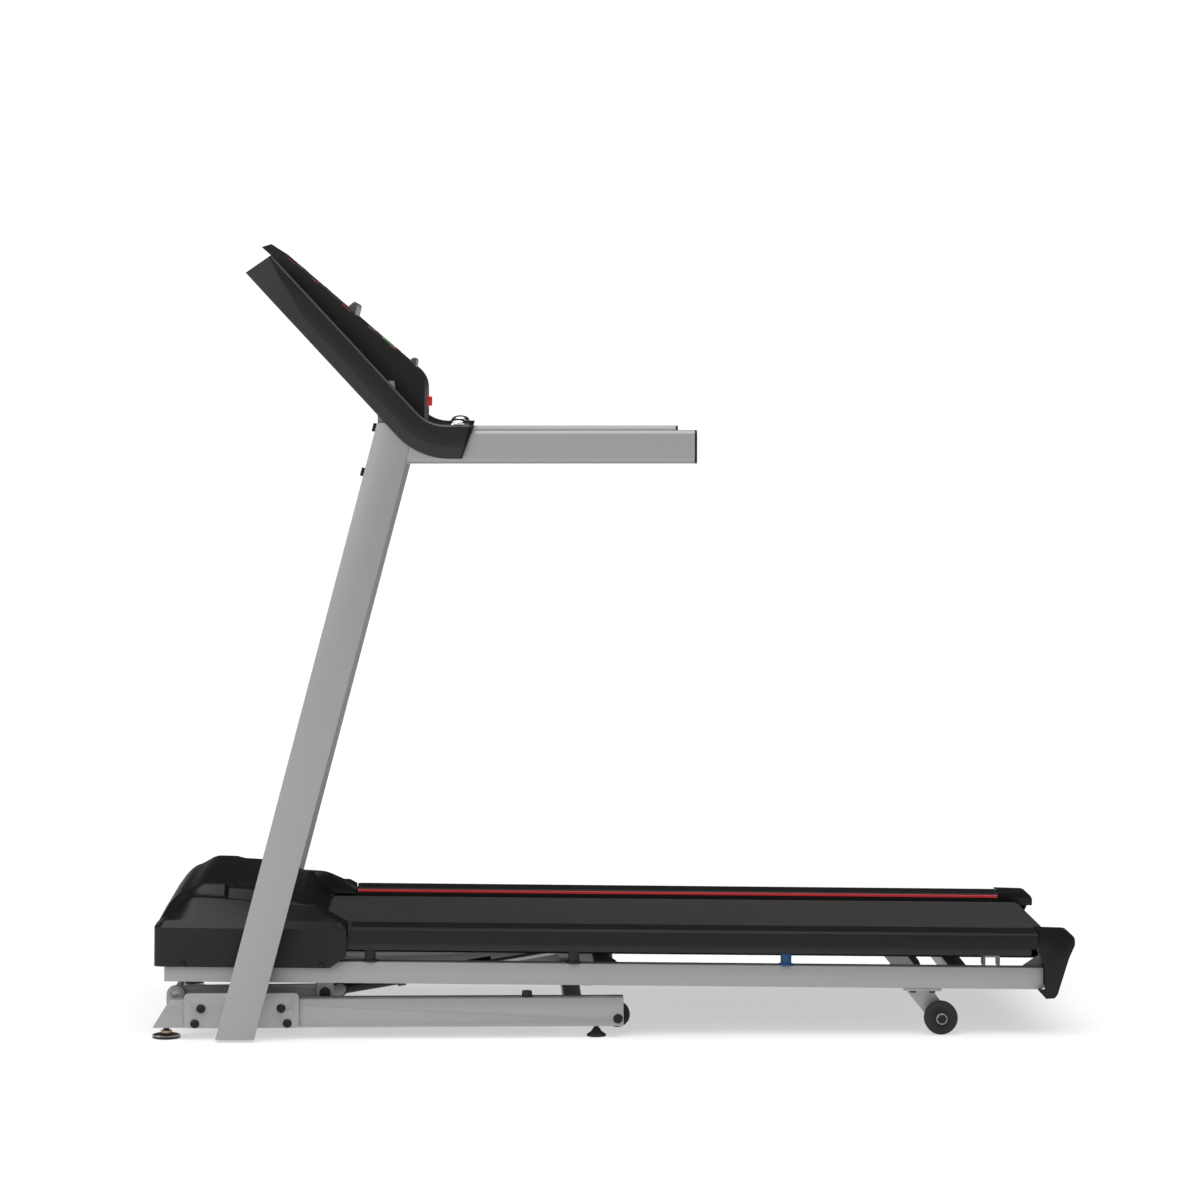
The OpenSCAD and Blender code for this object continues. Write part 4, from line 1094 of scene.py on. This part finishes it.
@dataclass
class Studio:
    """The floor, lights and camera."""

    lens: float = 126.12
    yaw: float = math.radians(1.594)
    pitch: float = math.radians(3.01)

    def camera(self) -> None:
        """Stands the camera to the machine's left, a little above the handrails."""
        data = bpy.data.cameras.new("view")
        data.lens = self.lens
        data.sensor_width = 36
        data.clip_end = 100
        cam = bpy.data.objects.new("view", data)
        cam.location = (-0.214, -7.155, 1.078)
        ahead = Vector((math.sin(self.yaw) * math.cos(self.pitch), math.cos(self.yaw) * math.cos(self.pitch),
                        -math.sin(self.pitch)))
        cam.rotation_mode = "QUATERNION"
        cam.rotation_quaternion = ahead.to_track_quat("-Z", "Y")
        bpy.context.scene.collection.objects.link(cam)
        bpy.context.scene.camera = cam

    def floor(self) -> None:
        """Lays a plain pale floor."""
        bm = bmesh.new()
        ring = [Vector((x, y, -0.0005)) for x, y in ((-60, -60), (60, -60), (60, 60), (-60, 60))]
        bm.faces.new([bm.verts.new(p) for p in ring])
        paper = bpy.data.materials.new("paper")
        paper.use_nodes = True
        shader = paper.node_tree.nodes["Principled BSDF"]
        shader.inputs["Base Color"].default_value = (0.44, 0.44, 0.44, 1)
        shader.inputs["Emission Color"].default_value = (1, 1, 1, 1)
        shader.inputs["Emission Strength"].default_value = 0.54
        shader.inputs["Roughness"].default_value = 1.0
        shader.inputs["Specular IOR Level"].default_value = 0.0
        object_from("floor", bm, [paper], outward=False)

    def lamp(self, name: str, place: tuple[float, float, float], aim: tuple[float, float, float],
             size: tuple[float, float], watts: float) -> None:
        """Hangs one soft lamp."""
        data = bpy.data.lights.new(name, "AREA")
        data.shape = "RECTANGLE"
        data.size, data.size_y = size
        data.energy = watts
        obj = bpy.data.objects.new(name, data)
        obj.location = place
        obj.rotation_mode = "QUATERNION"
        obj.rotation_quaternion = (Vector(aim) - Vector(place)).to_track_quat("-Z", "Y")
        bpy.context.scene.collection.objects.link(obj)

    def sun(self) -> None:
        """Lights the whole floor evenly from above."""
        data = bpy.data.lights.new("ceiling", "SUN")
        data.energy = 2.75
        data.angle = math.radians(75)
        obj = bpy.data.objects.new("ceiling", data)
        obj.rotation_mode = "QUATERNION"
        obj.rotation_quaternion = Vector((0.05, 0.10, -1.0)).to_track_quat("-Z", "Y")
        bpy.context.scene.collection.objects.link(obj)

    def surroundings(self) -> None:
        """A white backdrop to the eye, and a softer, dimmer room to everything else."""
        sky = bpy.data.worlds.new("room")
        bpy.context.scene.world = sky
        sky.use_nodes = True
        nodes, link = sky.node_tree.nodes, sky.node_tree.links.new
        nodes.clear()
        out, pick = nodes.new("ShaderNodeOutputWorld"), nodes.new("ShaderNodeMixShader")
        path = nodes.new("ShaderNodeLightPath")
        room, white = nodes.new("ShaderNodeBackground"), nodes.new("ShaderNodeBackground")
        white.inputs["Color"].default_value = (1, 1, 1, 1)
        white.inputs["Strength"].default_value = 1.05
        coords, split = nodes.new("ShaderNodeTexCoord"), nodes.new("ShaderNodeSeparateXYZ")
        front = nodes.new("ShaderNodeMapRange")
        front.inputs["From Min"].default_value = 0.55
        front.inputs["From Max"].default_value = -0.65
        front.inputs["To Min"].default_value = 0.10
        front.inputs["To Max"].default_value = 0.62
        link(coords.outputs["Generated"], split.inputs["Vector"])
        link(split.outputs["Y"], front.inputs["Value"])
        dim, seen = nodes.new("ShaderNodeMath"), nodes.new("ShaderNodeMath")
        dim.operation, seen.operation = "MULTIPLY_ADD", "MULTIPLY"
        dim.inputs[1].default_value = -0.72
        dim.inputs[2].default_value = 1.0
        link(path.outputs["Is Glossy Ray"], dim.inputs[0])
        link(front.outputs["Result"], seen.inputs[0])
        link(dim.outputs[0], seen.inputs[1])
        link(seen.outputs[0], room.inputs["Strength"])
        link(path.outputs["Is Camera Ray"], pick.inputs["Fac"])
        link(room.outputs[0], pick.inputs[1])
        link(white.outputs[0], pick.inputs[2])
        link(pick.outputs[0], out.inputs["Surface"])

    def build(self) -> None:
        """Sets up everything round the machine."""
        self.camera()
        self.floor()
        self.surroundings()
        self.sun()
        self.lamp("front", (-2.7, -4.9, 3.0), (-0.4, 0, 0.8), (1.8, 1.8), 34)
        self.lamp("nose", (-3.4, -1.6, 1.5), (-0.6, 0, 0.7), (1.0, 2.2), 26)
        bpy.context.scene.view_settings.view_transform = "Standard"


# ---------------------------------------------------------------- the whole machine

SOFT_EDGES = {
    "base_tube_left": 1.2, "base_tube_right": 1.2, "upright_left": 1.6, "upright_right": 1.6,
    "deck_rail_left": 1.4, "deck_rail_right": 1.4, "console_back": 3.0, "console_face": 3.0,
    "end_cap_left": 2.6, "end_cap_right": 2.6, "lift_frame": 1.0, "base_crossbars": 1.0,
    "deck_crossbars": 0.8, "wheel_arms": 0.8, "tablet_ledge": 1.0, "safety_key": 1.6,
    "speed_rocker": 0.8, "incline_rocker": 0.8, "power_switch": 0.6, "power_inlet": 0.6,
    "controller_box": 2.0, "handrail_caps": 0.6, "display_window": 0.5, "start_button": 0.8,
    "stop_button": 0.8, "drive_motor": 2.0, "lift_motor": 1.6,
}
OWN_SHAPES = {
    "motor_hood", "side_cover_left", "side_cover_right", "foot_rail_left", "foot_rail_right",
    "levelling_feet", "rear_feet", "rear_wheel_left", "rear_wheel_right", "transport_wheel_left",
    "transport_wheel_right", "frame_bolts", "pulse_sensors",
}


def main() -> None:
    """Builds the machine piece by piece and then its surroundings."""
    logging.basicConfig(level=logging.INFO, format="%(message)s")
    Studio().build()
    MotorHood().build()
    for side in Side:
        ArmCover(side).build()
        FootRail(side).build()
        Wheel(f"rear_wheel_{side.word}", 5.05).build()
        Wheel(f"transport_wheel_{side.word}", 4.05).build()
    FaceTrim().build()
    PulseDomes().build()
    AxleNuts().build()
    TurnedFeet().build()
    Fasteners().build()
    for node, width in SOFT_EDGES.items():
        soften(node, width)
    for node in sorted(set(SLOT_OF) - OWN_SHAPES - set(SOFT_EDGES)):
        dress(node)


if __name__ == "__main__":
    main()
